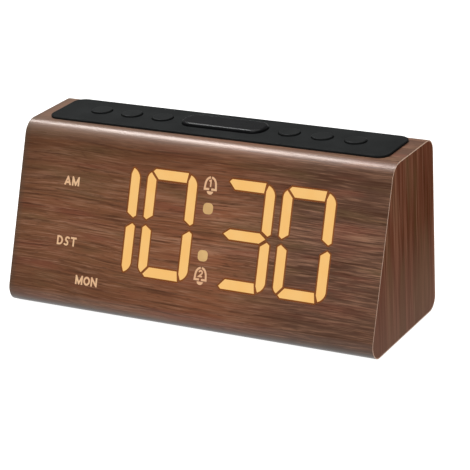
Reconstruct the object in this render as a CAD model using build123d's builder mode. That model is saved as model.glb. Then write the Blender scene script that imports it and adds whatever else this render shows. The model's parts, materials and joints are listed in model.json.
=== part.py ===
from build123d import *
from math import atan2, cos, degrees, sin
import os

# A bedside alarm clock: a wood-covered wedge with a segment display behind its sloping face,
# a black key deck let into its top, sockets in its back and a battery bay in its underside.
# Millimetres. X runs along the width, Y from front to back, Z up. The origin is on the table,
# under the middle of the case.

os.makedirs("parts", exist_ok=True)

# ---- Case ------------------------------------------------------------------------------------
case_width = 200
case_height = 87.5
base_depth = 76.6  # front to back at the base, before the edges are rounded
front_run = 31.5  # how far the face leans back over the height
toe_radius = 7.6  # front bottom edge
heel_radius = 6.7  # back bottom edge
nape_radius = 6.75  # back top edge
brow_radius = 9.0  # front top edge
foot_height = 1.0
foot_radius = 5.0
foot_margin = 2.0  # from a foot to the rounded edge behind or before it
foot_side_margin = 7.0
film = 0.5  # wood-grain covering
glue_line = 0.05
wall = 3.0
side_thickness = 3.0
lip_length = 3.0  # the side panel's lip, inside the sleeve
lip_thickness = 1.6
slip_fit = 0.1  # each side of a part that slides into another
edge_break = 0.5

# ---- Screws ----------------------------------------------------------------------------------
screw_radius = 1.2
screw_length = 6.5
head_radius = 2.2
head_height = 1.5
sunk_head_height = 1.0
cross_length = 2.6
cross_width = 0.6
cross_depth = 0.7
thread_clearance = 0.05
pilot_margin = 0.6  # from the end of a screw to the bottom of its hole
boss_radius = 3.0
board_thickness = 1.6

# ---- Display ---------------------------------------------------------------------------------
digit_width = 27.2
digit_height = 52.4
stroke = 4.7
digit_pitch = 31.7
pair_offset = 36.75  # from the colon to the middle of the hours or minutes
colon_x = 7.1
display_v = 51.2  # height of the digits' middle, measured up the sloping face
bar_left_inset = 4.0  # the outer bars' ends, in from the digit's edges
bar_right_inset = 5.2
bar_left_slant = 1.95
bar_right_slant = 0.7
bar_nose = (2.8, 1.2)  # the outer bars' left tips, in from the digit's corners
middle_inset = 2.5  # the middle bar's points, in from the digit's edges
middle_slant = 3.15
tip_gap = 1.5  # from the digit's middle to the nearest tip of an upright
waist = 3.7  # from the digit's middle to an upright's inner corner
shoulder_gap = 2.6  # from the digit's middle to an upright's outer corner
shoulder = 5.3  # from the digit's end to where an upright's outer edge bends
right_tip = (3.6, 0.9)  # an upright's far tip, in from the digit's corner
left_tip = (1.7, 1.9)
right_bend = (1.2, 2.65)  # the middle of the bent edge, in from the digit's corner
left_bend = (0.4, 3.4)
right_inner = 3.7  # from the digit's end to where an upright's inner edge bends
left_inner = 5.2
colon_size = 5.3
colon_corner = 2.0
colon_rise = 11.35  # from the colon's middle to each dot
colon_drop = 0.65  # from the digits' middle down to the colon's
bell_rise = 21.75  # from the digits' middle to each bell's middle
bell_stroke = 0.95
bell_half_width = 3.05
bell_shoulder = (2.35, 2.3)
bell_crown = (0.3, 3.9)
bell_flare = (0.1, 1)  # which way the bell's side leaves its bar
bell_dome = (1, 0.2)  # and which way it reaches the crown
bell_bar_v = -1.8
bell_bar_gap = 0.55
figure_below_crown = 1.4  # the alarm's number, in the bell
figure_above_bar = 1.2
figure_stroke = 0.7
figure_reach = 0.9
one_flag_drop = 0.4
two_start_drop = 0.75
two_turn = (0.65, 1.3)  # where its bowl ends, from the middle and below the top
clapper_half_width = 1.7
clapper_top = -2.8
clapper_bottom = -4.3
cap_height = 4.5
letter_stroke = 0.85
letter_space = 0.5
letter_shares = {"A": 0.88, "M": 0.92, "N": 0.79, "T": 0.74, "D": 0.75, "O": 0.83, "S": 0.78}
crossbar_rise = 1.35
valley_rise = 0.6  # of the M's middle
hook_drop = 0.65  # of the S's upper end
hook_rise = 1.05  # and of its lower end
words = {"AM": (-70.0, 66.2), "DST": (-69.3, 36.4), "MON": (-55.7, 18.25)}  # middles on the face
word_foot_margin = 1.2
word_foot_height = 7.0
bell_foot = (9.0, 11.0)
foot_corner = 1.0
letter_fit = 0.05  # round each raised letter and colon dot, in the film
rim_width = 0.85  # dark rim that the film leaves round a lit segment
rim_sink = 0.1  # from the film's face down to the rim
rim_fit = 0.05
lens_fit = 0.05  # round a lens in its well
lens_depth = 3.0
window_width = 156
window_low = 13.0
window_high = 82.0
window_corner = 2.0
flange_reach = 2.0
flange_thickness = 2.0
reflector_depth = 9.05
display_board_reach = 10.0  # beyond the window, at each end
display_board_margin = 1.0  # beyond the window, up and down
display_screw_end_inset = 4.0
display_screw_inset = 5.0
led_length = 3.5
led_breadth = 2.8
led_height = 1.9
led_spread = 5.0

# ---- Key deck --------------------------------------------------------------------------------
deck_side_margin = 7.4  # from the deck's ends to the ends of the case
deck_breadth = 31.2
deck_corner = 6.0
deck_rise = 1.2  # above the wood
deck_plate = 2.4
deck_back_margin = 6.9  # from the deck's back edge to the back of the case
deck_lap = 2.0  # how far the deck laps over the wood
skirt_drop = 4.0
skirt_thickness = 1.5
clip_width = 8.0
clip_reach = 1.0
clip_height = 1.4
clip_places = (-62.0, 0.0, 62.0)
key_radius = 5.25
key_end_margin = 22.6  # from the deck's end to the outer key's middle, which leaves room for the screws
key_lead = 5 / 7  # from the snooze bar's end to the first key's middle, in keys' pitches
key_steps = 2  # pitches from the first key to the outer one
key_forward = 0.7  # the round keys' row lies this far behind the deck's middle
key_rise = 0.9
key_gap = 0.3
key_travel = 0.5
key_flange_reach = 1.0
key_flange = 0.8
key_play = 0.05
post_radius = 1.6
post_length = 1.8
snooze_width = 45.0
snooze_breadth = 15.0
snooze_corner = 6.5
snooze_rise = 1.7
snooze_edge = 1.3
snooze_post_x = 14.0
switch_size = 6.0
switch_height = 3.5
plunger_radius = 1.7
plunger_rise = 1.2
plunger_depth = 1.0
plunger_fit = 0.05
key_board_margin = 4.6  # from the key board's ends to the deck's
key_board_breadth = 22.0
key_screw_inset = 6.0
key_screw_y = 7.0

# ---- Back ------------------------------------------------------------------------------------
plate_width = 90.0
plate_height = 28.0
plate_middle = 32.0  # above the case's underside
plate_thickness = 1.2
plate_corner = 4.0
plate_fit = 0.2
ledge = 3.0
plate_screw_inset = 4.0  # from the plate's end to its screw
main_board_width = 100.0
main_board_depth = 34.0
main_board_rise = 23.0  # above the case's underside
main_board_setback = 5.0  # from the back of the case
main_screw_inset = 4.5
inlet_from_screw = 9.0
inlet_width = 9.0
inlet_height = 11.0
inlet_length = 14.0
inlet_bore = 2.9
inlet_axis_rise = 6.5
inlet_pin_radius = 1.0
inlet_depth = 9.5
inlet_pin_setback = 1.0  # from the inlet's mouth to the pin's end
inlet_hole = 3.7
usb_x = -9.0
usb_width = 13.1
usb_height = 5.7
usb_length = 14.0
usb_sheet = 0.35
usb_tongue_width = 11.1
usb_tongue_height = 1.9
usb_mouth = 8.5
usb_tongue_setback = 1.0
usb_window_gap = 0.4
slider_x = 11.0
slider_body = (10.0, 4.5, 4.5)
slider_knob = (2.2, 2.2)
slider_travel = 2.0
slider_gap = 0.3
socket_setback = 0.1
buzzer_from_screw = 10.0
buzzer_radius = 7.0
buzzer_height = 7.5
buzzer_setback = 14.0
buzzer_hole = 1.2
buzzer_hole_depth = 3.75
slot_count = 5
slot_pitch = 3.0
slot_width = 1.4
slot_height = 10.0
boss_length = 5.0
knob_root = 2.0  # of the slider's knob, inside its body
driver_chip_size = (10.0, 10.0, 2.0)
driver_chip_x = -30.0
controller_size = (18.0, 7.5, 2.4)
controller_x = -2.0
controller_back = 9.0  # in front of the main board's middle
pin_count = 14
pin_pitch = 1.27
pin_size = (0.4, 1.0, 1.2)
crystal_radius = 1.5
crystal_length = 8.0
crystal_gap = 8.5  # behind the controller's middle
capacitor_sizes = ((-33.0, 4.0, 11.5), (-23.5, 3.15, 11.0))  # x, radius, height
capacitor_setback = 2.5
inductor_size = (8.0, 8.0, 4.0)
inductor_x = 14.0
inductor_corner = 1.5

# ---- Battery bay -----------------------------------------------------------------------------
cell_radius = 5.25
cell_length = 43.6
nub_radius = 1.9
nub_length = 0.9
cell_gap = 0.6
bay_length = 50.0
bay_clearance = 0.35
bay_wall = 1.5
bay_flange = 4.0
stake_radius = 1.0
stake_head_radius = 1.7
stake_head_height = 0.8
door_thickness = 2.0
door_lap = 2.5
door_gap = 0.3
door_lift = 0.05  # between the door and the ledge over it
door_rib = 0.5
door_rib_length = 30.0
door_rib_width = 1.0
hinge_rise = 1.3  # the hinge's axis above the door's outer face
hinge_radius = 0.5
hinge_pin = 1.5
hinge_fit = 0.05
hinge_relief = 3.5  # how far the ledge stops short of the hinge side
latch_width = 10.0
latch_length = 6.0
latch_slot = 0.8
grip_width = 6.0
grip_depth = 0.4
grip_pitch = 1.6
grip_count = 3
contact_thickness = 0.4
contact_size = 8.0
tab_width = 2.0
tab_reach = 1.4  # of a contact's solder tab, beyond the bay's end wall
tab_gap = 0.2
spring_wire = 0.5
spring_radius = 3.2
spring_turns = 4

# ---- Wiring ----------------------------------------------------------------------------------
connector_length = 14.0
connector_breadth = 5.0
connector_height = 4.0
ribbon_width = 12.0
ribbon_thickness = 0.9
ribbon_bend = 5.0
display_ribbon_x = 24.0
display_ribbon_v = 55.0
key_ribbon_x = -28.0
ribbon_inset = 5.3  # from the main board's front edge to its connectors' middle
key_ribbon_drop = 12.0
lead_radius = 0.6
lead_bend = 1.25
lead_reach = 7.5  # straight out from a contact's tab
lead_climb = 5.0
lead_plug_x = -38.0
lead_plug_y = 8.0
lead_pitch = 2.5
lead_plug_length = 7.5

# ---- Shared planes and places ----------------------------------------------------------------
lean = atan2(front_run, case_height)
front_lead = toe_radius * ((1 + sin(lean)) / cos(lean) - 1)
front_y = -(base_depth + front_lead) / 2
back_y = front_y + base_depth
base_z = foot_height
top_z = base_z + case_height
skin = film + glue_line
inside = skin + wall
floor_z = base_z + inside
half_width = case_width / 2
sleeve_half = half_width - film - side_thickness

# The sloping face: x along the width, y up the slope from the toe, z out of the face.
face = Plane(
    origin=(0, front_y, base_z),
    x_dir=(1, 0, 0),
    z_dir=(0, -cos(lean), sin(lean)),
)
# The back, seen from behind: x towards -X, y up, z out of the back.
rear = Plane(origin=(0, back_y, base_z), x_dir=(-1, 0, 0), z_dir=(0, 1, 0))


def case_outline(inset):
    """The case's outline from the side, drawn in from its skin by an inset."""
    toe, heel = (front_y, base_z), (back_y, base_z)
    nape, brow = (back_y, top_z), (front_y + front_run, top_z)
    corners = {toe: toe_radius, heel: heel_radius, nape: nape_radius, brow: brow_radius}
    with BuildSketch() as outline:
        with BuildLine():
            Polyline(*corners, close=True)
        make_face()
        for corner, radius in corners.items():
            fillet(outline.vertices().sort_by_distance((*corner, 0))[0], radius)
        if inset > 0:
            offset(amount=-inset)
    return outline.sketch


def save(part, name):
    """Label a finished piece and write it."""
    part.label = name
    export_step(part, f"parts/{name}.step")


# ---- The display's shapes, in the face's own plane ---------------------------------------------
half_w = digit_width / 2
half_h = digit_height / 2
digit_centres = [
    colon_x + pair + half
    for pair in (-pair_offset, pair_offset)
    for half in (-digit_pitch / 2, digit_pitch / 2)
]
shown_segments = ("bc", "abcdef", "abcdg", "abcdef")
colon_places = [(colon_x, display_v - colon_drop + rise) for rise in (-colon_rise, colon_rise)]
bell_places = {"1": (colon_x, display_v + bell_rise), "2": (colon_x, display_v - bell_rise)}
upright_shapes = {1: (right_tip, right_bend, right_inner), -1: (left_tip, left_bend, left_inner)}


def segment(name, grow):
    """One segment of a digit about the digit's middle; c, d and e mirror b, a and f."""
    left_end, right_end = bar_left_inset - half_w, half_w - bar_right_inset
    left_point, right_point = middle_inset - half_w, half_w - middle_inset
    with BuildSketch() as shape:
        with BuildLine():
            if name in "ad":
                Polyline(
                    (left_end, half_h),
                    (right_end, half_h),
                    (right_end - bar_right_slant, half_h - stroke),
                    (left_end + bar_left_slant, half_h - stroke),
                    (bar_nose[0] - half_w, half_h - bar_nose[1]),
                    close=True,
                )
            elif name == "g":
                Polyline(
                    (left_point, 0),
                    (left_point + middle_slant, stroke / 2),
                    (right_point - middle_slant, stroke / 2),
                    (right_point, 0),
                    (right_point - middle_slant, -stroke / 2),
                    (left_point + middle_slant, -stroke / 2),
                    close=True,
                )
            else:
                side = 1 if name in "bc" else -1
                tip, bend, inner = upright_shapes[side]
                edge = Polyline(
                    (side * (half_w - tip[0]), half_h - tip[1]),
                    (side * (half_w - stroke), half_h - inner),
                    (side * (half_w - stroke), waist),
                    (side * (half_w - tip_gap), tip_gap),
                    (side * half_w, shoulder_gap),
                    (side * half_w, half_h - shoulder),
                )
                ThreePointArc(edge @ 1, (side * (half_w - bend[0]), half_h - bend[1]), edge @ 0)
        make_face()
        if name in "cde":
            mirror(about=Plane.XZ, mode=Mode.REPLACE)
        if grow > 0:
            offset(amount=grow)
    return shape.sketch


def digits(lit, grow=0.0):
    """The lit or the dark segments of the four digits, each grown all round."""
    with BuildSketch() as shapes:
        for centre, shown in zip(digit_centres, shown_segments):
            with Locations((centre, display_v)):
                for name in "abcdefg":
                    if (name in shown) == lit:
                        add(segment(name, grow))
    return shapes.sketch


def colon(grow=0.0):
    """The two dots between hours and minutes."""
    size = colon_size + 2 * grow
    with BuildSketch() as dots:
        with Locations(*colon_places):
            RectangleRounded(size, size, colon_corner + grow)
    return dots.sketch


def pen_lines(paths, width):
    """Lines of one width along straight and curved paths."""
    with BuildSketch() as shape:
        for path in paths:
            trace(path.edges(), line_width=width)
    return shape.sketch


def straight(*points):
    """A pen path through points."""
    with BuildLine() as path:
        Polyline(*points)
    return path.line


def bowl(*points):
    """A pen path of one arc through three points."""
    with BuildLine() as path:
        ThreePointArc(*points)
    return path.line


def letter_paths(letter):
    """Width of a capital letter that stands on its origin, and its pen paths."""
    pen, middle = letter_stroke / 2, cap_height / 2
    high = cap_height - pen
    width = letter_shares[letter] * cap_height
    centre, far = width / 2, width - pen
    if letter == "A":
        legs = straight((pen, 0), (centre, high), (far, 0))
        bar_start = pen + (centre - pen) * crossbar_rise / high
        return width, [legs, straight((bar_start, crossbar_rise), (width - bar_start, crossbar_rise))]
    if letter == "M":
        return width, [straight((pen, 0), (pen, high), (centre, valley_rise), (far, high), (far, 0))]
    if letter == "N":
        return width, [straight((pen, 0), (pen, high), (far, pen), (far, cap_height))]
    if letter == "T":
        return width, [straight((0, high), (width, high)), straight((centre, high), (centre, 0))]
    if letter == "D":
        stem = straight((centre, pen), (pen, pen), (pen, high), (centre, high))
        return width, [stem, bowl((centre, pen), (far, middle), (centre, high))]
    if letter == "O":
        return width, [bowl((centre, pen), (x, middle), (centre, high)) for x in (pen, far)]
    upper = bowl((far, high - hook_drop), (centre, high), (centre, middle))
    return width, [upper, bowl((centre, middle), (centre, pen), (pen, hook_rise))]


def word_width(word):
    """Overall width of a word."""
    return sum(letter_paths(letter)[0] for letter in word) + letter_space * (len(word) - 1)


def word_shape(word, grow=0.0):
    """The letters of a word, at their place on the face, cut off square at their foot and top."""
    centre_x, centre_v = words[word]
    start = centre_x - word_width(word) / 2
    with BuildSketch() as shape:
        for letter in word:
            width, paths = letter_paths(letter)
            with Locations((start, centre_v - cap_height / 2)):
                add(pen_lines(paths, letter_stroke + 2 * grow))
            start += width + letter_space
        with Locations(words[word]):
            Rectangle(word_width(word) + 2 * letter_stroke, cap_height + 2 * grow, mode=Mode.INTERSECT)
    return shape.sketch


def bell_shape(figure, grow=0.0):
    """An outline bell with a clapper below it and the alarm's number inside it."""
    with BuildLine() as half:
        bar = Line((-bell_bar_gap, bell_bar_v), (-bell_half_width, bell_bar_v))
        shoulder_point = (-bell_shoulder[0], bell_shoulder[1])
        crown_point = (-bell_crown[0], bell_crown[1])
        Spline(bar @ 1, shoulder_point, crown_point, tangents=(bell_flare, bell_dome))
    with BuildSketch() as outline:
        trace(half.edges(), line_width=bell_stroke + 2 * grow)
        mirror(about=Plane.YZ)
    top, bottom = bell_crown[1] - figure_below_crown, bell_bar_v + figure_above_bar
    if figure == "1":
        number = [straight((-figure_reach, top - one_flag_drop), (0, top), (0, bottom))]
    else:
        foot_v = bottom + figure_stroke / 2
        turn = (two_turn[0], top - two_turn[1])
        number = [
            bowl((-figure_reach, top - two_start_drop), (0, top), turn),
            straight(turn, (-figure_reach, foot_v), (figure_reach, foot_v)),
        ]
    with BuildSketch() as clapper:
        with BuildLine():
            chord = Line((-clapper_half_width, clapper_top), (clapper_half_width, clapper_top))
            ThreePointArc(chord @ 1, (0, clapper_bottom), chord @ 0)
        make_face()
        if grow > 0:
            offset(amount=grow)
    with BuildSketch() as shape:
        with Locations(bell_places[figure]):
            add(outline.sketch)
            add(pen_lines(number, figure_stroke + 2 * grow))
            add(clapper.sketch)
    return shape.sketch


# ---- Levels and places shared by several pieces ------------------------------------------------
window_height = window_high - window_low
window_v = (window_high + window_low) / 2
board_depth = skin + reflector_depth  # from the face's skin to the display board's front
display_board_height = window_height + 2 * display_board_margin
display_board_width = window_width + 2 * display_board_reach
display_screw_x = display_board_width / 2 - display_screw_end_inset
display_screws = [
    (side * display_screw_x, window_v + end * (window_height / 2 - display_screw_inset))
    for side in (-1, 1)
    for end in (-1, 1)
]

deck_width = case_width - 2 * deck_side_margin
key_board_width = deck_width - 2 * key_board_margin
key_screw_x = key_board_width / 2 - key_screw_inset
deck_y = back_y - deck_back_margin - deck_breadth / 2
deck_top = top_z + deck_rise
plate_under = deck_top - deck_plate
plug_width = deck_width - 2 * deck_lap
plug_breadth = deck_breadth - 2 * deck_lap
plug_corner = deck_corner - deck_lap
key_y = deck_y + key_forward
key_pitch = (deck_width / 2 - key_end_margin - snooze_width / 2) / (key_lead + key_steps)
key_first_x = snooze_width / 2 + key_lead * key_pitch
flange_top = plate_under - key_play
flange_under = flange_top - key_flange
plunger_top = flange_under - post_length
switch_top = plunger_top - plunger_rise
key_board_top = switch_top - switch_height
key_board_under = key_board_top - board_thickness
key_places = {
    "alarm_one": -key_first_x - key_steps * key_pitch,
    "alarm_two": -key_first_x - key_pitch,
    "clock_set": -key_first_x,
    "minus": key_first_x,
    "plus": key_first_x + key_pitch,
    "dimmer": key_first_x + key_steps * key_pitch,
}
snooze_posts = [(-snooze_post_x, key_y), (snooze_post_x, key_y)]
switch_places = [(x, key_y) for x in key_places.values()] + snooze_posts
key_screws = [(side * key_screw_x, deck_y + end * key_screw_y) for side in (-1, 1) for end in (-1, 1)]

ledge_face = back_y - skin - plate_thickness  # where the rear plate seats
socket_mouth = ledge_face - socket_setback
main_board_under = base_z + main_board_rise
main_board_top = main_board_under + board_thickness
main_board_back = back_y - main_board_setback
main_board_y = main_board_back - main_board_depth / 2
main_screws = [
    (
        side * (main_board_width / 2 - main_screw_inset),
        main_board_y + end * (main_board_depth / 2 - main_screw_inset),
    )
    for side in (-1, 1)
    for end in (-1, 1)
]
plate_screw_x = plate_width / 2 - plate_screw_inset
plate_screws = [(side * plate_screw_x, plate_middle) for side in (-1, 1)]
inlet_x = inlet_from_screw - plate_screw_x
buzzer_x = plate_screw_x - buzzer_from_screw

bay_breadth = 4 * cell_radius + cell_gap + 2 * bay_clearance
door_length = bay_length + 2 * door_lap
door_breadth = bay_breadth + 2 * door_lap
door_top = base_z + door_thickness
hinge_y = door_breadth / 2 - hinge_rise
hinge_z = base_z + hinge_rise
cell_z = door_top + door_rib + bay_clearance + cell_radius
bay_roof = cell_z + cell_radius + bay_clearance
cell_rows = [side * (cell_radius + cell_gap / 2) for side in (-1, 1)]

feet_y = [
    front_y + toe_radius * (1 + sin(lean)) / cos(lean) + foot_margin + foot_radius,
    back_y - heel_radius - foot_margin - foot_radius,
]
foot_places = [(side * (half_width - foot_side_margin - foot_radius), y) for side in (-1, 1) for y in feet_y]

recess_length = door_length + 2 * door_gap
recess_breadth = door_breadth + 2 * door_gap
stake_places = [
    (
        side * (bay_length / 2 + bay_wall + bay_flange / 2),
        end * (bay_breadth / 2 + bay_wall + bay_flange / 2),
    )
    for side in (-1, 1)
    for end in (-1, 1)
]
pilot_radius = screw_radius + thread_clearance
pilot_depth = screw_length - board_thickness + pilot_margin


def deck_opening():
    """The hole that the key deck's plug drops into."""
    with BuildSketch() as opening:
        with Locations((0, deck_y)):
            RectangleRounded(plug_width + 2 * slip_fit, plug_breadth + 2 * slip_fit, plug_corner + slip_fit)
    return opening.sketch


def plate_outline(grow=0.0):
    """The rear plate's outline, grown all round."""
    with BuildSketch() as outline:
        with Locations((0, plate_middle)):
            RectangleRounded(plate_width + 2 * grow, plate_height + 2 * grow, plate_corner + grow)
    return outline.sketch


def window(grow=0.0):
    """The display window's outline in the case's front wall, grown all round."""
    with BuildSketch() as outline:
        with Locations((0, window_v)):
            RectangleRounded(window_width + 2 * grow, window_height + 2 * grow, window_corner + grow)
    return outline.sketch


def indicators(grow=0.0):
    """Every small word and bell on the face."""
    with BuildSketch() as shapes:
        for word in words:
            add(word_shape(word, grow))
        for figure in bell_places:
            add(bell_shape(figure, grow))
    return shapes.sketch


def indicator_feet(grow=0.0):
    """The blocks that carry the words and bells, in their wells behind the film."""
    with BuildSketch() as feet:
        for word, place in words.items():
            with Locations(place):
                length = word_width(word) + 2 * (word_foot_margin + grow)
                RectangleRounded(length, word_foot_height + 2 * grow, foot_corner)
        with Locations(*bell_places.values()):
            RectangleRounded(bell_foot[0] + 2 * grow, bell_foot[1] + 2 * grow, foot_corner)
    return feet.sketch


# ---- Body shell: an open-ended sleeve with every boss and opening -----------------------------
with BuildPart() as body_shell:
    with BuildSketch(Plane.YZ.offset(-sleeve_half)):
        add(case_outline(skin))
        add(case_outline(inside), mode=Mode.SUBTRACT)
    extrude(amount=2 * sleeve_half)
    # Display window and the bosses for the display board
    with BuildSketch(face):
        add(window())
    extrude(amount=-inside, mode=Mode.SUBTRACT)
    with BuildSketch(face.offset(-inside)):
        with Locations(*display_screws):
            Circle(boss_radius)
    extrude(amount=inside - board_depth)
    with BuildSketch(face.offset(-board_depth)):
        with Locations(*display_screws):
            Circle(pilot_radius)
    extrude(amount=pilot_depth, mode=Mode.SUBTRACT)
    # Opening for the key deck
    with BuildSketch(Plane.XY.offset(top_z)):
        add(deck_opening())
    extrude(amount=-inside, mode=Mode.SUBTRACT)
    # Stepped opening for the rear plate, with a boss at each end
    with BuildSketch(rear):
        add(plate_outline(plate_fit))
    extrude(amount=-(skin + plate_thickness), mode=Mode.SUBTRACT)
    with BuildSketch(rear):
        add(plate_outline(-ledge))
    extrude(amount=-inside, mode=Mode.SUBTRACT)
    with BuildSketch(rear.offset(-(skin + plate_thickness))):
        with Locations(*plate_screws):
            Circle(boss_radius)
    extrude(amount=-(boss_length + wall - plate_thickness))
    with BuildSketch(rear.offset(-(skin + plate_thickness))):
        with Locations(*plate_screws):
            Circle(pilot_radius)
    extrude(amount=-pilot_depth, mode=Mode.SUBTRACT)
    # Posts for the main board
    with BuildSketch(Plane.XY.offset(floor_z - wall / 2)):
        with Locations(*main_screws):
            Circle(boss_radius)
    extrude(amount=main_board_under - floor_z + wall / 2)
    with BuildSketch(Plane.XY.offset(main_board_under)):
        with Locations(*main_screws):
            Circle(pilot_radius)
    extrude(amount=-pilot_depth, mode=Mode.SUBTRACT)
    # Battery opening: a recess for the door, a ledge, and holes for the hinge pins
    with BuildSketch(Plane.XY.offset(base_z)):
        Rectangle(recess_length, recess_breadth)
    extrude(amount=door_thickness + door_lift, mode=Mode.SUBTRACT)
    with BuildSketch(Plane.XY.offset(base_z)):
        Rectangle(bay_length, bay_breadth)
        with Locations((0, recess_breadth / 2)):
            Rectangle(recess_length, hinge_relief, align=(Align.CENTER, Align.MAX))
    extrude(amount=inside, mode=Mode.SUBTRACT)
    with BuildSketch(Plane.YZ):
        with Locations((hinge_y, hinge_z)):
            Circle(hinge_radius + hinge_fit)
    extrude(amount=door_length / 2 + hinge_pin + slip_fit, both=True, mode=Mode.SUBTRACT)
    # Stakes that hold the battery box, each with its flattened head
    with BuildSketch(Plane.XY.offset(floor_z)):
        with Locations(*stake_places):
            Circle(stake_radius)
    extrude(amount=bay_wall)
    with BuildSketch(Plane.XY.offset(floor_z + bay_wall)):
        with Locations(*stake_places):
            Circle(stake_head_radius)
    extrude(amount=stake_head_height)
save(body_shell.part, "body_shell")

# ---- Covering: the wood-grain film round the sleeve -------------------------------------------
with BuildPart() as veneer_wrap:
    with BuildSketch(Plane.YZ.offset(-half_width)):
        add(case_outline(0))
        add(case_outline(film), mode=Mode.SUBTRACT)
    extrude(amount=case_width)
    with BuildSketch(face):
        add(digits(True, rim_width))
        add(colon(letter_fit))
        add(indicators(letter_fit))
    extrude(amount=-skin, mode=Mode.SUBTRACT)
    with BuildSketch(Plane.XY.offset(top_z)):
        add(deck_opening())
    extrude(amount=-skin, mode=Mode.SUBTRACT)
    with BuildSketch(rear):
        add(plate_outline(plate_fit))
    extrude(amount=-skin, mode=Mode.SUBTRACT)
    with BuildSketch(Plane.XY.offset(base_z)):
        Rectangle(recess_length, recess_breadth)
    extrude(amount=skin, mode=Mode.SUBTRACT)
save(veneer_wrap.part, "veneer_wrap")

# ---- Side panels with their locating lips, and the film on them -------------------------------
for side, hand in ((-1, "left"), (1, "right")):
    with BuildPart() as side_panel:
        with BuildSketch(Plane.YZ.offset(side * sleeve_half)):
            add(case_outline(skin))
        extrude(amount=side * side_thickness)
        with BuildSketch(Plane.YZ.offset(side * sleeve_half)):
            add(case_outline(inside + slip_fit))
            add(case_outline(inside + slip_fit + lip_thickness), mode=Mode.SUBTRACT)
        extrude(amount=-side * lip_length)
    save(side_panel.part, f"side_panel_{hand}")

    with BuildPart() as side_veneer:
        with BuildSketch(Plane.YZ.offset(side * (half_width - film))):
            add(case_outline(skin))
        extrude(amount=side * film)
    save(side_veneer.part, f"side_veneer_{hand}")

# ---- Key deck ---------------------------------------------------------------------------------
with BuildPart() as key_deck:
    with BuildSketch(Plane.XY.offset(top_z)):
        with Locations((0, deck_y)):
            RectangleRounded(deck_width, deck_breadth, deck_corner)
    extrude(amount=deck_rise)
    fillet(key_deck.edges().group_by(Axis.Z)[-1], edge_break)
    with BuildSketch(Plane.XY.offset(top_z)):
        with Locations((0, deck_y)):
            RectangleRounded(plug_width, plug_breadth, plug_corner)
    extrude(amount=deck_rise - deck_plate)
    with BuildSketch(Plane.XY.offset(plate_under)):
        with Locations((0, deck_y)):
            RectangleRounded(plug_width, plug_breadth, plug_corner)
            inner = 2 * skirt_thickness
            RectangleRounded(
                plug_width - inner, plug_breadth - inner, plug_corner - skirt_thickness, mode=Mode.SUBTRACT
            )
    extrude(amount=-skirt_drop)
    # Clips that catch under the wall, front and back
    with BuildSketch(Plane.XY.offset(top_z - inside)):
        for end in (-1, 1):
            with Locations(*[(x, deck_y + end * (plug_breadth + clip_reach) / 2) for x in clip_places]):
                Rectangle(clip_width, clip_reach)
    extrude(amount=-clip_height)
    # Bosses for the key board
    with BuildSketch(Plane.XY.offset(plate_under)):
        with Locations(*key_screws):
            Circle(boss_radius)
    extrude(amount=key_board_top - plate_under)
    with BuildSketch(Plane.XY.offset(key_board_top)):
        with Locations(*key_screws):
            Circle(pilot_radius)
    extrude(amount=pilot_depth, mode=Mode.SUBTRACT)
    # Holes for the keys and the snooze bar
    with BuildSketch(Plane.XY.offset(deck_top)):
        with Locations(*[(x, key_y) for x in key_places.values()]):
            Circle(key_radius + key_gap)
        with Locations((0, key_y)):
            RectangleRounded(
                snooze_width + 2 * key_gap, snooze_breadth + 2 * key_gap, snooze_corner + key_gap
            )
    extrude(amount=-deck_plate, mode=Mode.SUBTRACT)
save(key_deck.part, "key_deck")

# ---- Keys and the switch plungers that they press ----------------------------------------------
for name, x in key_places.items():
    with BuildPart() as key:
        with BuildSketch(Plane.XY.offset(flange_under)):
            with Locations((x, key_y)):
                Circle(key_radius)
        extrude(amount=deck_top + key_rise - flange_under)
        fillet(key.edges().group_by(Axis.Z)[-1], edge_break)
        with BuildSketch(Plane.XY.offset(flange_under)):
            with Locations((x, key_y)):
                Circle(key_radius + key_flange_reach)
        extrude(amount=key_flange)
        with BuildSketch(Plane.XY.offset(flange_under)):
            with Locations((x, key_y)):
                Circle(post_radius)
        extrude(amount=-post_length)
    save(key.part, f"key_{name}")

with BuildPart() as snooze_bar:
    with BuildSketch(Plane.XY.offset(flange_under)):
        with Locations((0, key_y)):
            RectangleRounded(snooze_width, snooze_breadth, snooze_corner)
    extrude(amount=deck_top + snooze_rise - flange_under)
    fillet(snooze_bar.edges().group_by(Axis.Z)[-1], snooze_edge)
    with BuildSketch(Plane.XY.offset(flange_under)):
        reach = 2 * key_flange_reach
        with Locations((0, key_y)):
            RectangleRounded(snooze_width + reach, snooze_breadth + reach, snooze_corner + key_flange_reach)
    extrude(amount=key_flange)
    with BuildSketch(Plane.XY.offset(flange_under)):
        with Locations(*snooze_posts):
            Circle(post_radius)
    extrude(amount=-post_length)
save(snooze_bar.part, "snooze_bar")


def plungers(places):
    """Round plungers that stand in the switches at the given places."""
    with BuildPart() as group:
        with BuildSketch(Plane.XY.offset(plunger_top)):
            with Locations(*places):
                Circle(plunger_radius)
        extrude(amount=-(plunger_rise + plunger_depth))
    return group.part


for name, x in key_places.items():
    save(plungers([(x, key_y)]), f"plunger_{name}")
save(plungers(snooze_posts), "plungers_snooze")

# ---- Key board --------------------------------------------------------------------------------
with BuildPart() as key_switches:
    with BuildSketch(Plane.XY.offset(key_board_top)):
        with Locations(*switch_places):
            Rectangle(switch_size, switch_size)
    extrude(amount=switch_height)
    with BuildSketch(Plane.XY.offset(switch_top)):
        with Locations(*switch_places):
            Circle(plunger_radius + plunger_fit)
    extrude(amount=-(plunger_depth + key_travel + slip_fit), mode=Mode.SUBTRACT)
save(key_switches.part, "key_switches")

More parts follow.
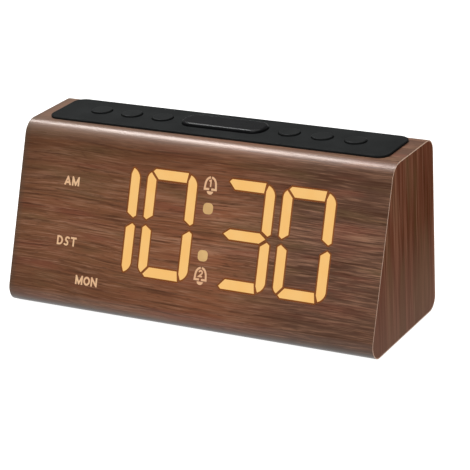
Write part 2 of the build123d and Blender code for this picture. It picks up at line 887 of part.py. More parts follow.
with BuildPart() as key_board:
    with BuildSketch(Plane.XY.offset(key_board_top)):
        with Locations((0, deck_y)):
            Rectangle(key_board_width, key_board_breadth)
        with Locations(*key_screws):
            Circle(screw_radius + slip_fit, mode=Mode.SUBTRACT)
    extrude(amount=-board_thickness)
save(key_board.part, "key_board")


def screws(seat, places, sunk=False):
    """Cross-head screws whose heads lie on a seat, or sunk in it, and whose shanks go through it."""
    top = 0 if sunk else head_height
    with BuildPart(seat) as group:
        with Locations(*places):
            Cylinder(screw_radius, screw_length, align=(Align.CENTER, Align.CENTER, Align.MAX))
            if sunk:
                Cone(
                    screw_radius,
                    head_radius,
                    sunk_head_height,
                    align=(Align.CENTER, Align.CENTER, Align.MAX),
                )
            else:
                Cylinder(head_radius, head_height, align=(Align.CENTER, Align.CENTER, Align.MIN))
        with Locations(*[(x, y, top) for x, y in places]):
            for turn in (0, 90):
                Box(
                    cross_length,
                    cross_width,
                    2 * cross_depth,
                    rotation=(0, 0, turn),
                    mode=Mode.SUBTRACT,
                )
    return group.part


key_seat = Plane(origin=(0, 0, key_board_under), x_dir=(1, 0, 0), z_dir=(0, 0, -1))
save(screws(key_seat, [(x, -y) for x, y in key_screws]), "key_board_screws")

# ---- Display ----------------------------------------------------------------------------------
with BuildPart() as display_reflector:
    with BuildSketch(face.offset(-skin)):
        add(window(-slip_fit))
    extrude(amount=-reflector_depth)
    with BuildSketch(face.offset(-inside)):
        add(window(flange_reach))
    extrude(amount=-flange_thickness)
    with BuildSketch(face.offset(-skin)):
        add(digits(True, rim_width - rim_fit))
    extrude(amount=skin - rim_sink)
    with BuildSketch(face):
        add(digits(True, lens_fit))
        add(digits(False, lens_fit))
        add(colon(lens_fit))
    extrude(amount=-board_depth, mode=Mode.SUBTRACT)
    with BuildSketch(face):
        add(indicator_feet(lens_fit))
    extrude(amount=-board_depth, mode=Mode.SUBTRACT)
save(display_reflector.part, "display_reflector")

with BuildPart() as segment_lenses_lit:
    with BuildSketch(face):
        add(digits(True))
    extrude(amount=-(skin + lens_depth))
save(segment_lenses_lit.part, "segment_lenses_lit")

with BuildPart() as segment_lenses_dark:
    with BuildSketch(face.offset(-skin)):
        add(digits(False))
    extrude(amount=-lens_depth)
save(segment_lenses_dark.part, "segment_lenses_dark")

with BuildPart() as colon_lenses:
    with BuildSketch(face):
        add(colon())
    extrude(amount=-(skin + lens_depth))
save(colon_lenses.part, "colon_lenses")

with BuildPart() as indicator_lenses:
    with BuildSketch(face.offset(-skin)):
        add(indicator_feet())
    extrude(amount=-lens_depth)
    with BuildSketch(face.offset(-skin)):
        add(indicators())
    extrude(amount=skin)
save(indicator_lenses.part, "indicator_lenses")

with BuildPart() as display_board:
    with BuildSketch(face.offset(-board_depth)):
        with Locations((0, window_v)):
            Rectangle(display_board_width, display_board_height)
        with Locations(*display_screws):
            Circle(screw_radius + slip_fit, mode=Mode.SUBTRACT)
    extrude(amount=-board_thickness)
save(display_board.part, "display_board")

upright_x = half_w - stroke / 2
bar_v = half_h - stroke / 2
led_spots = {
    "a": (0, bar_v),
    "b": (upright_x, half_h / 2),
    "c": (upright_x, -half_h / 2),
    "d": (0, -bar_v),
    "e": (-upright_x, -half_h / 2),
    "f": (-upright_x, half_h / 2),
    "g": (0, 0),
}
with BuildPart() as led_chips:
    with BuildSketch(face.offset(-board_depth)):
        for centre in digit_centres:
            for name, (x, v) in led_spots.items():
                with Locations((centre + x, display_v + v)):
                    if name in "adg":
                        with Locations((-led_spread, 0), (led_spread, 0)):
                            Rectangle(led_length, led_breadth)
                    else:
                        with Locations((0, -led_spread), (0, led_spread)):
                            Rectangle(led_breadth, led_length)
        with Locations(*colon_places, *words.values(), *bell_places.values()):
            Rectangle(led_length, led_breadth)
    extrude(amount=led_height)
save(led_chips.part, "led_chips")

board_back = face.offset(-(board_depth + board_thickness))
display_seat = Plane(
    origin=board_back.from_local_coords((0, window_v, 0)), x_dir=(1, 0, 0), z_dir=-board_back.z_dir
)
save(screws(display_seat, [(x, window_v - v) for x, v in display_screws]), "display_board_screws")

with BuildPart() as display_driver_chip:
    with BuildSketch(board_back):
        with Locations((driver_chip_x, display_v)):
            Rectangle(*driver_chip_size[:2])
    extrude(amount=-driver_chip_size[2])
save(display_driver_chip.part, "display_driver_chip")

# ---- Main board and what stands on it ----------------------------------------------------------
with BuildPart() as main_board:
    with BuildSketch(Plane.XY.offset(main_board_under)):
        with Locations((0, main_board_y)):
            Rectangle(main_board_width, main_board_depth)
        with Locations(*main_screws):
            Circle(screw_radius + slip_fit, mode=Mode.SUBTRACT)
    extrude(amount=board_thickness)
save(main_board.part, "main_board")
save(screws(Plane.XY.offset(main_board_top), main_screws), "main_board_screws")

inlet_axis = (-inlet_x, main_board_top + inlet_axis_rise - base_z)
inlet_face = rear.offset(socket_mouth - back_y)
with BuildPart() as power_inlet:
    with BuildSketch(inlet_face):
        with Locations((-inlet_x, main_board_top - base_z)):
            Rectangle(inlet_width, inlet_height, align=(Align.CENTER, Align.MIN))
    extrude(amount=-inlet_length)
    with BuildSketch(inlet_face):
        with Locations(inlet_axis):
            Circle(inlet_bore)
    extrude(amount=-inlet_depth, mode=Mode.SUBTRACT)
save(power_inlet.part, "power_inlet")

with BuildPart() as power_inlet_pin:
    with BuildSketch(inlet_face.offset(-inlet_depth)):
        with Locations(inlet_axis):
            Circle(inlet_pin_radius)
    extrude(amount=inlet_depth - inlet_pin_setback)
    fillet(power_inlet_pin.edges().group_by(Axis.Y)[-1], inlet_pin_radius / 2)
save(power_inlet_pin.part, "power_inlet_pin")

usb_face = rear.offset(-skin)
usb_middle = (-usb_x, main_board_top + usb_height / 2 - base_z)
usb_inner = (usb_width - 2 * usb_sheet, usb_height - 2 * usb_sheet)
with BuildPart() as usb_socket_shell:
    with BuildSketch(usb_face):
        with Locations(usb_middle):
            Rectangle(usb_width, usb_height)
            Rectangle(*usb_inner, mode=Mode.SUBTRACT)
    extrude(amount=-usb_length)
save(usb_socket_shell.part, "usb_socket_shell")

with BuildPart() as usb_socket_tongue:
    with BuildSketch(usb_face.offset(-usb_length)):
        with Locations(usb_middle):
            Rectangle(*usb_inner)
    extrude(amount=usb_length - usb_mouth)
    with BuildSketch(usb_face.offset(-usb_mouth)):
        with Locations(usb_middle):
            Rectangle(usb_tongue_width, usb_tongue_height)
    extrude(amount=usb_mouth - usb_tongue_setback)
save(usb_socket_tongue.part, "usb_socket_tongue")

slider_length, slider_depth, slider_height = slider_body
slider_middle = (-slider_x, main_board_top + slider_height / 2 - base_z)
slider_window = (slider_knob[0] + slider_travel + 2 * slider_gap, slider_knob[1] + 2 * slider_gap)
with BuildPart() as volume_switch_body:
    with BuildSketch(inlet_face):
        with Locations(slider_middle):
            Rectangle(slider_length, slider_height)
    extrude(amount=-slider_depth)
    with BuildSketch(inlet_face):
        with Locations(slider_middle):
            Rectangle(*slider_window)
    extrude(amount=-(knob_root + slip_fit), mode=Mode.SUBTRACT)
save(volume_switch_body.part, "volume_switch_body")

with BuildPart() as volume_switch_knob:
    with BuildSketch(inlet_face.offset(-knob_root)):
        with Locations((slider_middle[0] + slider_travel / 2, slider_middle[1])):
            Rectangle(*slider_knob)
    extrude(amount=knob_root + back_y - socket_mouth - slip_fit)
    fillet(volume_switch_knob.edges().group_by(Axis.Y)[-1], slip_fit)
save(volume_switch_knob.part, "volume_switch_knob")

with BuildPart() as buzzer:
    with BuildSketch(Plane.XY.offset(main_board_top)):
        with Locations((buzzer_x, back_y - buzzer_setback)):
            Circle(buzzer_radius)
    extrude(amount=buzzer_height)
    fillet(buzzer.edges().group_by(Axis.Z)[-1], edge_break)
    with BuildSketch(Plane.XY.offset(main_board_top + buzzer_height)):
        with Locations((buzzer_x, back_y - buzzer_setback)):
            Circle(buzzer_hole)
    extrude(amount=-buzzer_hole_depth, mode=Mode.SUBTRACT)
save(buzzer.part, "buzzer")

standing = (Align.CENTER, Align.CENTER, Align.MIN)
controller_y = main_board_y - controller_back
with BuildPart(Plane.XY.offset(main_board_top)) as controller_chip:
    with Locations((controller_x, controller_y)):
        Box(*controller_size, align=standing)
        with GridLocations(pin_pitch, controller_size[1] + pin_size[1], pin_count, 2):
            Box(*pin_size, align=standing)
save(controller_chip.part, "controller_chip")

with BuildPart(Plane.YZ.offset(controller_x - crystal_length / 2)) as clock_crystal:
    with Locations((controller_y + crystal_gap, main_board_top + crystal_radius)):
        Cylinder(crystal_radius, crystal_length, align=standing)
save(clock_crystal.part, "clock_crystal")

with BuildPart(Plane.XY.offset(main_board_top)) as smoothing_capacitors:
    for x, radius, height in capacitor_sizes:
        with Locations((x, main_board_y - capacitor_setback)):
            can = Cylinder(radius, height, align=standing)
        fillet(can.edges().sort_by(Axis.Z)[-1], edge_break)
save(smoothing_capacitors.part, "smoothing_capacitors")

with BuildPart(Plane.XY.offset(main_board_top)) as power_inductor:
    with Locations((inductor_x, main_board_y)):
        Box(*inductor_size, align=standing)
    fillet(power_inductor.edges().filter_by(Axis.Z), inductor_corner)
save(power_inductor.part, "power_inductor")

# ---- Rear plate -------------------------------------------------------------------------------
with BuildPart(rear.offset(-skin)) as rear_plate:
    with BuildSketch(rear.offset(-skin)):
        add(plate_outline())
        with Locations(inlet_axis):
            Circle(inlet_hole, mode=Mode.SUBTRACT)
        with Locations(usb_middle):
            gap = 2 * usb_window_gap
            Rectangle(usb_width + gap, usb_height + gap, mode=Mode.SUBTRACT)
        with Locations(slider_middle):
            Rectangle(*slider_window, mode=Mode.SUBTRACT)
        with Locations((-buzzer_x, main_board_top + buzzer_height - base_z)):
            with GridLocations(slot_pitch, 0, slot_count, 1):
                SlotOverall(slot_height, slot_width, rotation=90, mode=Mode.SUBTRACT)
    extrude(amount=-plate_thickness)
    with Locations(*plate_screws):
        CounterSinkHole(
            screw_radius + slip_fit,
            head_radius + slip_fit,
            counter_sink_angle=2 * degrees(atan2(head_radius - screw_radius, sunk_head_height)),
        )
save(rear_plate.part, "rear_plate")
save(screws(rear.offset(-skin), plate_screws, sunk=True), "rear_plate_screws")

# ---- Battery bay ------------------------------------------------------------------------------
bay_half = bay_length / 2
with BuildPart() as battery_box:
    with BuildSketch(Plane.XY.offset(floor_z)):
        Rectangle(bay_length + 2 * bay_wall, bay_breadth + 2 * bay_wall)
    extrude(amount=bay_roof + bay_wall - floor_z)
    fillet(battery_box.edges().group_by(Axis.Z)[-1], edge_break)
    with BuildSketch(Plane.XY.offset(floor_z)):
        Rectangle(bay_length + 2 * (bay_wall + bay_flange), bay_breadth + 2 * (bay_wall + bay_flange))
        with Locations(*stake_places):
            Circle(stake_radius + slip_fit, mode=Mode.SUBTRACT)
    extrude(amount=bay_wall)
    with BuildSketch(Plane.XY.offset(floor_z)):
        Rectangle(bay_length, bay_breadth)
    extrude(amount=bay_roof - floor_z, mode=Mode.SUBTRACT)
    # Slots for the contacts' solder tabs
    with BuildSketch(Plane.YZ.offset(-bay_half)):
        with Locations(*[(row, cell_z) for row in cell_rows]):
            Rectangle(tab_width + 2 * tab_gap, contact_thickness + 2 * tab_gap)
    extrude(amount=-bay_wall, mode=Mode.SUBTRACT)
save(battery_box.part, "battery_box")

spring_length = bay_length - 2 * contact_thickness - cell_length - nub_length
with BuildPart() as battery_cells:
    for row, way in zip(cell_rows, (1, -1)):
        start = -way * (bay_half - contact_thickness - spring_length)
        with BuildSketch(Plane.YZ.offset(start)):
            with Locations((row, cell_z)):
                Circle(cell_radius)
        extrude(amount=way * cell_length)
        with BuildSketch(Plane.YZ.offset(start + way * cell_length)):
            with Locations((row, cell_z)):
                Circle(nub_radius)
        extrude(amount=way * nub_length)
    rims = battery_cells.edges().filter_by(GeomType.CIRCLE).filter_by(lambda rim: rim.radius > nub_radius)
    fillet(rims, edge_break)
save(battery_cells.part, "battery_cells")

with BuildPart() as battery_contacts:
    # One bridging plate, and at the other end two plates with tabs for the leads
    with BuildSketch(Plane.YZ.offset(bay_half - contact_thickness)):
        with Locations((0, cell_z)):
            Rectangle(cell_rows[1] - cell_rows[0] + contact_size, contact_size)
    extrude(amount=contact_thickness)
    with BuildSketch(Plane.YZ.offset(-bay_half)):
        with Locations(*[(row, cell_z) for row in cell_rows]):
            Rectangle(contact_size, contact_size)
    extrude(amount=contact_thickness)
    with BuildSketch(Plane.YZ.offset(-bay_half)):
        with Locations(*[(row, cell_z) for row in cell_rows]):
            Rectangle(tab_width, contact_thickness)
    extrude(amount=-(bay_wall + tab_reach))
save(battery_contacts.part, "battery_contacts")

with BuildPart() as battery_springs:
    for row, way in zip(cell_rows, (1, -1)):
        with BuildLine() as coil:
            Helix(
                (spring_length - spring_wire) / spring_turns,
                spring_length - spring_wire,
                spring_radius,
                center=(-way * (bay_half - contact_thickness - spring_wire / 2), row, cell_z),
                direction=(way, 0, 0),
            )
        with BuildSketch(Plane(origin=coil.line @ 0, z_dir=coil.line % 0)):
            Circle(spring_wire / 2)
        sweep(path=coil.line, is_frenet=True)
save(battery_springs.part, "battery_springs")

with BuildPart() as battery_door:
    with BuildSketch(Plane.YZ.offset(-door_length / 2)):
        with Locations((hinge_y, base_z)):
            Rectangle(door_breadth - hinge_rise, door_thickness, align=(Align.MAX, Align.MIN))
        with Locations((hinge_y, hinge_z)):
            Circle(hinge_rise)
        with Locations((hinge_y, door_top)):
            Rectangle(4 * hinge_rise, hinge_rise, align=(Align.CENTER, Align.MIN), mode=Mode.SUBTRACT)
    extrude(amount=door_length)
    with BuildSketch(Plane.YZ):
        with Locations((hinge_y, hinge_z)):
            Circle(hinge_radius)
    extrude(amount=door_length / 2 + hinge_pin, both=True)
    with BuildSketch(Plane.XY.offset(door_top)):
        with Locations(*[(0, row) for row in cell_rows]):
            Rectangle(door_rib_length, door_rib_width)
    extrude(amount=door_rib)
    # A springy latch tongue between two slots, with grip grooves under it
    with BuildSketch(Plane.XY.offset(base_z)):
        for side in (-1, 1):
            with Locations((side * latch_width / 2, -door_breadth / 2)):
                Rectangle(latch_slot, latch_length, align=(Align.CENTER, Align.MIN))
    extrude(amount=door_thickness, mode=Mode.SUBTRACT)
    with BuildSketch(Plane.XY.offset(base_z)):
        with Locations((0, -door_breadth / 2 + latch_length / 2)):
            with GridLocations(0, grip_pitch, 1, grip_count):
                Rectangle(grip_width, latch_slot)
    extrude(amount=grip_depth, mode=Mode.SUBTRACT)
save(battery_door.part, "battery_door")

# ---- Feet -------------------------------------------------------------------------------------
with BuildPart() as rubber_feet:
    with BuildSketch(Plane.XY):
        with Locations(*foot_places):
            Circle(foot_radius)
    extrude(amount=foot_height)
    fillet(rubber_feet.edges().group_by(Axis.Z)[0], edge_break / 2)
save(rubber_feet.part, "rubber_feet")

# ---- Wiring -----------------------------------------------------------------------------------
connector_y = main_board_back - main_board_depth + ribbon_inset
lead_plug_bottom = main_board_under - connector_height
with BuildPart() as board_connectors:
    with BuildSketch(board_back):
        with Locations((display_ribbon_x, display_ribbon_v)):
            Rectangle(connector_length, connector_breadth)
    extrude(amount=-connector_height)
    with BuildSketch(Plane.XY.offset(key_board_under)):
        with Locations((key_ribbon_x, deck_y)):
            Rectangle(connector_length, connector_breadth)
    extrude(amount=-connector_height)
    with BuildSketch(Plane.XY.offset(main_board_top)):
        with Locations((display_ribbon_x, connector_y), (key_ribbon_x, connector_y)):
            Rectangle(connector_length, connector_breadth)
    extrude(amount=connector_height)
    with BuildSketch(Plane.XY.offset(lead_plug_bottom)):
        with Locations((lead_plug_x, lead_plug_y)):
            Rectangle(connector_breadth, lead_plug_length)
    extrude(amount=connector_height)
save(board_connectors.part, "board_connectors")

connector_top = main_board_top + connector_height
ribbon_start = board_back.from_local_coords((display_ribbon_x, display_ribbon_v, -connector_height))
display_route = [
    (ribbon_start.Y, ribbon_start.Z),
    (connector_y, ribbon_start.Z - (connector_y - ribbon_start.Y) * front_run / case_height),
    (connector_y, connector_top),
]
key_start_z = key_board_under - connector_height
key_route = [
    (deck_y, key_start_z),
    (deck_y, key_start_z - key_ribbon_drop),
    (connector_y, connector_top + key_ribbon_drop),
    (connector_y, connector_top),
]


def ribbon(route, middle_x):
    """A flat ribbon cable along a route in the side view."""
    with BuildPart() as strip:
        with BuildLine() as line:
            FilletPolyline(*route, radius=ribbon_bend)
        with BuildSketch(Plane.YZ.offset(middle_x - ribbon_width / 2)):
            add(pen_lines([line.line], ribbon_thickness))
        extrude(amount=ribbon_width)
    return strip.part


save(ribbon(display_route, display_ribbon_x), "display_ribbon")
save(ribbon(key_route, key_ribbon_x), "key_ribbon")

with BuildPart() as battery_leads:
    for row, way in zip(cell_rows, (-1, 1)):
        tab_end = -(bay_half + bay_wall + tab_reach)
        plug_y = lead_plug_y + way * lead_pitch / 2
        with BuildLine() as route:
            FilletPolyline(
                (tab_end, row, cell_z),
                (tab_end - lead_reach, row, cell_z),
                (lead_plug_x, plug_y, cell_z + lead_climb),
                (lead_plug_x, plug_y, lead_plug_bottom),
                radius=lead_bend,
            )
        with BuildSketch(Plane(origin=route.line @ 0, z_dir=route.line % 0)):
            Circle(lead_radius)
        sweep(path=route.line)
save(battery_leads.part, "battery_leads")
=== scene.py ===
import json
import math

import bpy
from bpy.props import FloatProperty, FloatVectorProperty, PointerProperty
from bpy.types import Operator, Panel, PropertyGroup
from mathutils import Matrix, Quaternion, Vector

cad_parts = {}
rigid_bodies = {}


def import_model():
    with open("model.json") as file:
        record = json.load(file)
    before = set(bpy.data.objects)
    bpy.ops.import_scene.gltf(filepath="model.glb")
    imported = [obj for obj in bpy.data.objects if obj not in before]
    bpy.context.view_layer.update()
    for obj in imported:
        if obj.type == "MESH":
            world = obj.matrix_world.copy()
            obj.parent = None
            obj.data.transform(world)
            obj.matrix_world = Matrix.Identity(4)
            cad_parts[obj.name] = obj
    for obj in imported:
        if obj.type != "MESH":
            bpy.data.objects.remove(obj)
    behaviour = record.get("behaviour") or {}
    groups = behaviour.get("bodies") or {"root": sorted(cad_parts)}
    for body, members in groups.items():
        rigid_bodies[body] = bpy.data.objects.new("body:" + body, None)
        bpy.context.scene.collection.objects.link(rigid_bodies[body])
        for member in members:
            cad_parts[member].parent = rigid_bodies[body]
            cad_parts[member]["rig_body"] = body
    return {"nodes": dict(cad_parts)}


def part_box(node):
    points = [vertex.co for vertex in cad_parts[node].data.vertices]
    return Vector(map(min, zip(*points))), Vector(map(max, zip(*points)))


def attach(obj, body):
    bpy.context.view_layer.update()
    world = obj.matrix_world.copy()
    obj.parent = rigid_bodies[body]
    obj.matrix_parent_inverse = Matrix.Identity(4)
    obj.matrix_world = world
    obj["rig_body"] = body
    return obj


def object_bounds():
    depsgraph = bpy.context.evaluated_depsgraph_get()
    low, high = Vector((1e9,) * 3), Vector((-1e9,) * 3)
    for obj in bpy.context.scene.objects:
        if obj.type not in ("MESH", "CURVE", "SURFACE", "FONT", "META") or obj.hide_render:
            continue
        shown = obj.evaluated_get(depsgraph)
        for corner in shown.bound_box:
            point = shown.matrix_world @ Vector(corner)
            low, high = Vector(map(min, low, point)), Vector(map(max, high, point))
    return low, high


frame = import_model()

bl_info = {
    "name": "Bedside Alarm Clock Looks",
    "version": (1, 0, 0),
    "blender": (4, 5, 0),
    "location": "View3D > Sidebar > Clock",
    "description": "Finishes, small details, light and camera of a wood-covered alarm clock",
    "category": "Object",
}

# The frame's own box and the places that patterns line up with, in metres.
MM = 0.001
nodes = frame["nodes"]
cad_low, cad_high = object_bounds()
wrap_low, wrap_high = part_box("veneer_wrap")

# Noise: the span that most of its values lie in, its middle, and how far one noise's place is moved
# along Y and Z for each unit along X, so that no two follow each other.
USUAL = (0.3, 0.7)
HALFWAY = 0.5
APART_Y, APART_Z = 0.618, 0.382
# A Mix node's colour sockets: its two inputs and its result.
MIX_FIRST, MIX_SECOND, MIX_RESULT = 6, 7, 2


# ---- Shader maths -------------------------------------------------------------------------------
class Value:
    """A number, colour or vector in a material, so that shading is written as an expression."""

    def __init__(self, finish, socket):
        self.finish = finish
        self.socket = socket

    def math(self, operation, first, second=0.0):
        return self.finish.node("ShaderNodeMath", {"operation": operation}, {0: first, 1: second})

    def __add__(self, other):
        return self.math("ADD", self, other)

    def __sub__(self, other):
        return self.math("SUBTRACT", self, other)

    def __rsub__(self, other):
        return self.math("SUBTRACT", other, self)

    def __mul__(self, other):
        return self.math("MULTIPLY", self, other)

    def __gt__(self, other):
        return self.math("GREATER_THAN", self, other)

    def magnitude(self):
        return self.math("ABSOLUTE", self)

    __radd__ = __add__
    __rmul__ = __mul__


class Finish:
    """One material, with a principled surface that the sections below fill in."""

    def __init__(self, name, **fixed):
        self.material = bpy.data.materials.new(name)
        self.material.use_nodes = True
        self.tree = self.material.node_tree
        self.surface = self.tree.nodes["Principled BSDF"]
        for socket, value in fixed.items():
            self.set(socket.replace("_", " "), value)
        self.position = self.node("ShaderNodeTexCoord", output="Object")

    def node(self, kind, settings=None, inputs=None, output=0):
        """Make a node: its settings first, then the values or links of its sockets."""
        made = self.tree.nodes.new(kind)
        for name, value in (settings or {}).items():
            if name == "stops":
                self.fill_ramp(made.color_ramp, value)
            else:
                setattr(made, name, value)
        for name, value in (inputs or {}).items():
            self.feed(made.inputs[name], value)
        return Value(self, made.outputs[output])

    def feed(self, socket, value):
        if isinstance(value, Value):
            self.tree.links.new(value.socket, socket)
        else:
            socket.default_value = value

    def fill_ramp(self, ramp, stops):
        while len(ramp.elements) < len(stops):
            ramp.elements.new(1.0)
        for element, (place, color) in zip(ramp.elements, stops):
            element.position = place
            element.color = (*color, 1.0)

    def set(self, name, value):
        """Set or link a socket of the surface."""
        socket = self.surface.inputs[name]
        if socket.type == "RGBA" and not isinstance(value, Value):
            value = (*value, 1.0)
        self.feed(socket, value)

    def axes(self):
        """The three coordinates of a point, in millimetres."""
        scaled = self.scaled(self.position, 1 / MM)
        parts = self.tree.nodes.new("ShaderNodeSeparateXYZ")
        self.feed(parts.inputs[0], scaled)
        return [Value(self, parts.outputs[axis]) for axis in "XYZ"]

    def scaled(self, vector, factor):
        """A vector made longer or shorter."""
        return self.node("ShaderNodeVectorMath", {"operation": "SCALE"}, {0: vector, "Scale": factor})

    def point(self, x, y, z):
        """A vector from three coordinates."""
        return self.node("ShaderNodeCombineXYZ", inputs={"X": x, "Y": y, "Z": z})

    def noise(self, at, size, detail=2.0, roughness=0.5, offset=0.0):
        """Noise from 0 to 1 whose patches measure size along each axis, at a point in millimetres."""
        spread = tuple(1 / length for length in size)
        moved = (offset, APART_Y * offset, APART_Z * offset)
        place = self.node("ShaderNodeVectorMath", {"operation": "MULTIPLY_ADD"}, {0: at, 1: spread, 2: moved})
        sockets = {"Vector": place, "Scale": 1.0, "Detail": detail, "Roughness": roughness}
        return self.node("ShaderNodeTexNoise", {"noise_dimensions": "3D"}, sockets)

    def fit(self, value, low, high, new_low=0.0, new_high=1.0):
        """A value carried from one range to another, and held inside it."""
        sockets = {"Value": value, "From Min": low, "From Max": high}
        sockets |= {"To Min": new_low, "To Max": new_high}
        return self.node("ShaderNodeMapRange", {"clamp": True}, sockets)

    def ramp(self, value, stops):
        """A colour from a ramp."""
        return self.node("ShaderNodeValToRGB", {"stops": stops}, {"Fac": value})

    def blend(self, share, first, second, mode="MIX"):
        """Two colours mixed by a share."""
        first, second = (c if isinstance(c, Value) else (*c, 1.0) for c in (first, second))
        settings = {"data_type": "RGBA", "blend_type": mode}
        sockets = {0: share, MIX_FIRST: first, MIX_SECOND: second}
        return self.node("ShaderNodeMix", settings, sockets, output=MIX_RESULT)

    def bump(self, height, depth):
        """Raise the surface by a height from 0 to 1, depth metres deep at 1."""
        sockets = {"Height": height, "Distance": depth, "Strength": 1.0}
        self.set("Normal", self.node("ShaderNodeBump", inputs=sockets))


def tone(code):
    """A screen colour of six hexadecimal digits, taken by the sRGB curve to the shaders' linear colour."""
    channels = [int(code[i : i + 2], 16) / 255 for i in (0, 2, 4)]
    return tuple(c / 12.92 if c <= 0.04045 else ((c + 0.055) / 1.055) ** 2.4 for c in channels)


def color_property(name, description, code):
    settings = {"subtype": "COLOR", "min": 0, "max": 1, "default": tone(code)}
    return FloatVectorProperty(name=name, description=description, **settings)


def length_property(name, description, length):
    return FloatProperty(name=name, description=description, default=length, unit="LENGTH")


def angle_property(name, description, degrees):
    return FloatProperty(name=name, description=description, default=math.radians(degrees), subtype="ANGLE")


def power_property(name, description, watts):
    return FloatProperty(name=name, description=description, default=watts, unit="POWER")


# ---- What a user would change -------------------------------------------------------------------
class ClockWood(PropertyGroup):
    """Colours and grain of the covering film, and the colours of the painted shade, painted sheen and painted
    floor reflection on it.
    """

    # The dark streak colour is also the colour of the painted shade on the face.
    dark: color_property("Dark streaks", "Colour of the darkest streaks of the grain", "3C2212")
    middle: color_property("Ground", "Colour between the streaks", "69432C")
    centre_middle: color_property("Ground in the middle", "The same, behind the colon", "7C4D34")
    far_middle: color_property("Ground at the right", "The same, at the right end", "543A2D")
    light: color_property("Light streaks", "Colour of the palest streaks of the grain", "936C55")
    warm: color_property("Warm patches", "Reddish cast in places", "6C3A2B")
    olive: color_property("Cool patches", "Olive cast in places", "5C472E")
    end_dark: color_property("Side film, dark", "Darkest colour of the two ends", "42220F")
    end_middle: color_property("Side film, ground", "Colour of the two ends between their streaks", "5D3626")
    end_light: color_property("Side film, light", "Palest colour of the two ends", "7E5440")
    # Painted reflection of the bright floor on the lower part of the two ends.
    end_floor_reflection: color_property("Side film, foot", "Cast of the two ends towards the table", "846A5E")
    # Painted sheen: a grey cast on the top and the front edge for the sheen of the overhead light.
    top_sheen: color_property("Top sheen", "Cast of the film on the top and the front edge", "5E4D42")
    cut_edge: color_property("Cut edge", "The film's edge where the sleeve ends", "A98468")
    # Painted shade along the face beside its left end.
    shade_edge: color_property("Far edge", "The film beside its left end", "463C31")
    # Painted shade where the toe turns under towards the table.
    toe_shade: color_property("Toe", "The film where the toe turns under", "3C3835")
    wander: length_property("Wander", "How far the streaks stray from straight", 6 * MM)
    band_width: length_property("Band width", "Width of the broad bands", 7 * MM)
    streak_width: length_property("Streak width", "Width of the dark streaks", 1.05 * MM)
    streak_length: length_property("Streak length", "Length of the dark streaks", 34 * MM)
    fibre_width: length_property("Fibre width", "Width of the fine fibres", 0.66 * MM)


class ClockDisplay(PropertyGroup):
    """Colours of the display."""

    digit: color_property("Digits", "Colour of the lit digits", "FAC77A")
    digit_end: color_property("Digit ends", "Colour towards the weaker ends of the segments", "FAC372")
    colon: color_property("Colon", "Colour of the dim dots between hours and minutes", "D6AF75")
    colon_end: color_property("Colon, weaker", "Colour of the dots where they are weaker", "C9A26B")
    indicator: color_property("Indicators", "Colour of the small words and bells", "DDB68E")
    indicator_end: color_property("Indicators, weaker", "Colour of the words where they are weaker", "DDAE88")
    unlit: color_property("Unlit segments", "Colour of the segments that are off", "9C8468")
    rim: color_property("Rim", "The surround of each lit segment", "5E3414")
    # Painted glow: the rim gives off light of its own for the light its segment spills on it.
    rim_glow: color_property("Rim glow", "Light that the rim takes from its segment", "5A2C08")


class ClockPlastic(PropertyGroup):
    """Colours of the mouldings."""

    deck: color_property("Deck", "Colour of the key deck", "1B1C1C")
    key: color_property("Keys", "Colour of the round keys", "1B1C1C")
    snooze: color_property("Snooze bar", "Colour of the snooze bar", "111112")
    rear: color_property("Rear plate", "Colour of the plate in the back", "242424")
    shell: color_property("Shell", "Colour of the moulded sleeve under the film", "2A211C")
    foot: color_property("Feet", "Colour of the rubber feet", "1E1E1E")
    inlet: color_property("Power inlet", "Colour of the power inlet's body", "1B1B1B")
    knob: color_property("Volume knob", "Colour of the slider's knob", "303030")
    tongue: color_property("Socket tongue", "Colour of the outlet's tongue", "DADAD6")
    bay: color_property("Battery bay", "Colour of the battery box", "252525")
    door: color_property("Battery door", "Colour of the battery door", "272420")
    plunger: color_property("Plungers", "Colour of the plungers under the keys", "38383A")
    grain: length_property("Texture", "Size of the mouldings' fine texture", 0.35 * MM)


class ClockMetal(PropertyGroup):
    """Colours of the metal pieces."""

    socket: color_property("Sockets", "Plating of the outlet's shell and the slider's frame", "C9C8C4")
    contact: color_property("Contacts", "Plating of the inlet's pin and the battery contacts", "D2CFC6")
    spring: color_property("Springs", "Plating of the battery springs", "D6D6D4")
    rear_screw: color_property("Rear screws", "Blackened screws of the rear plate", "3A3A3C")
    board_screw: color_property("Board screws", "Zinc-plated screws of the boards", "C4C6C9")
    switch: color_property("Switch caps", "Steel caps of the key switches", "BEBEC0")
    crystal: color_property("Crystal can", "Can of the clock crystal", "CFCFCF")
    pin: color_property("Pins", "Tinned pins of the connectors", "C8C9C8")


class ClockElectronics(PropertyGroup):
    """Colours of what stands on the boards and runs between them."""

    chip: color_property("Chips", "Resin of the chips", "222223")
    ferrite: color_property("Inductor", "Ferrite of the inductor", "4A4A4B")
    capacitor: color_property("Capacitors", "Sleeves of the capacitors", "16213F")
    sounder: color_property("Buzzer", "Housing of the buzzer", "222222")
    connector: color_property("Connectors", "Nylon of the connectors", "E0DCCB")
    led: color_property("Lamps", "Bodies of the small lamps behind the digits", "E6D27A")
    ribbon: color_property("Ribbons", "Insulation of the ribbon cables", "9EA0A3")
    lead: color_property("Battery leads", "Insulation of the battery leads", "A01818")


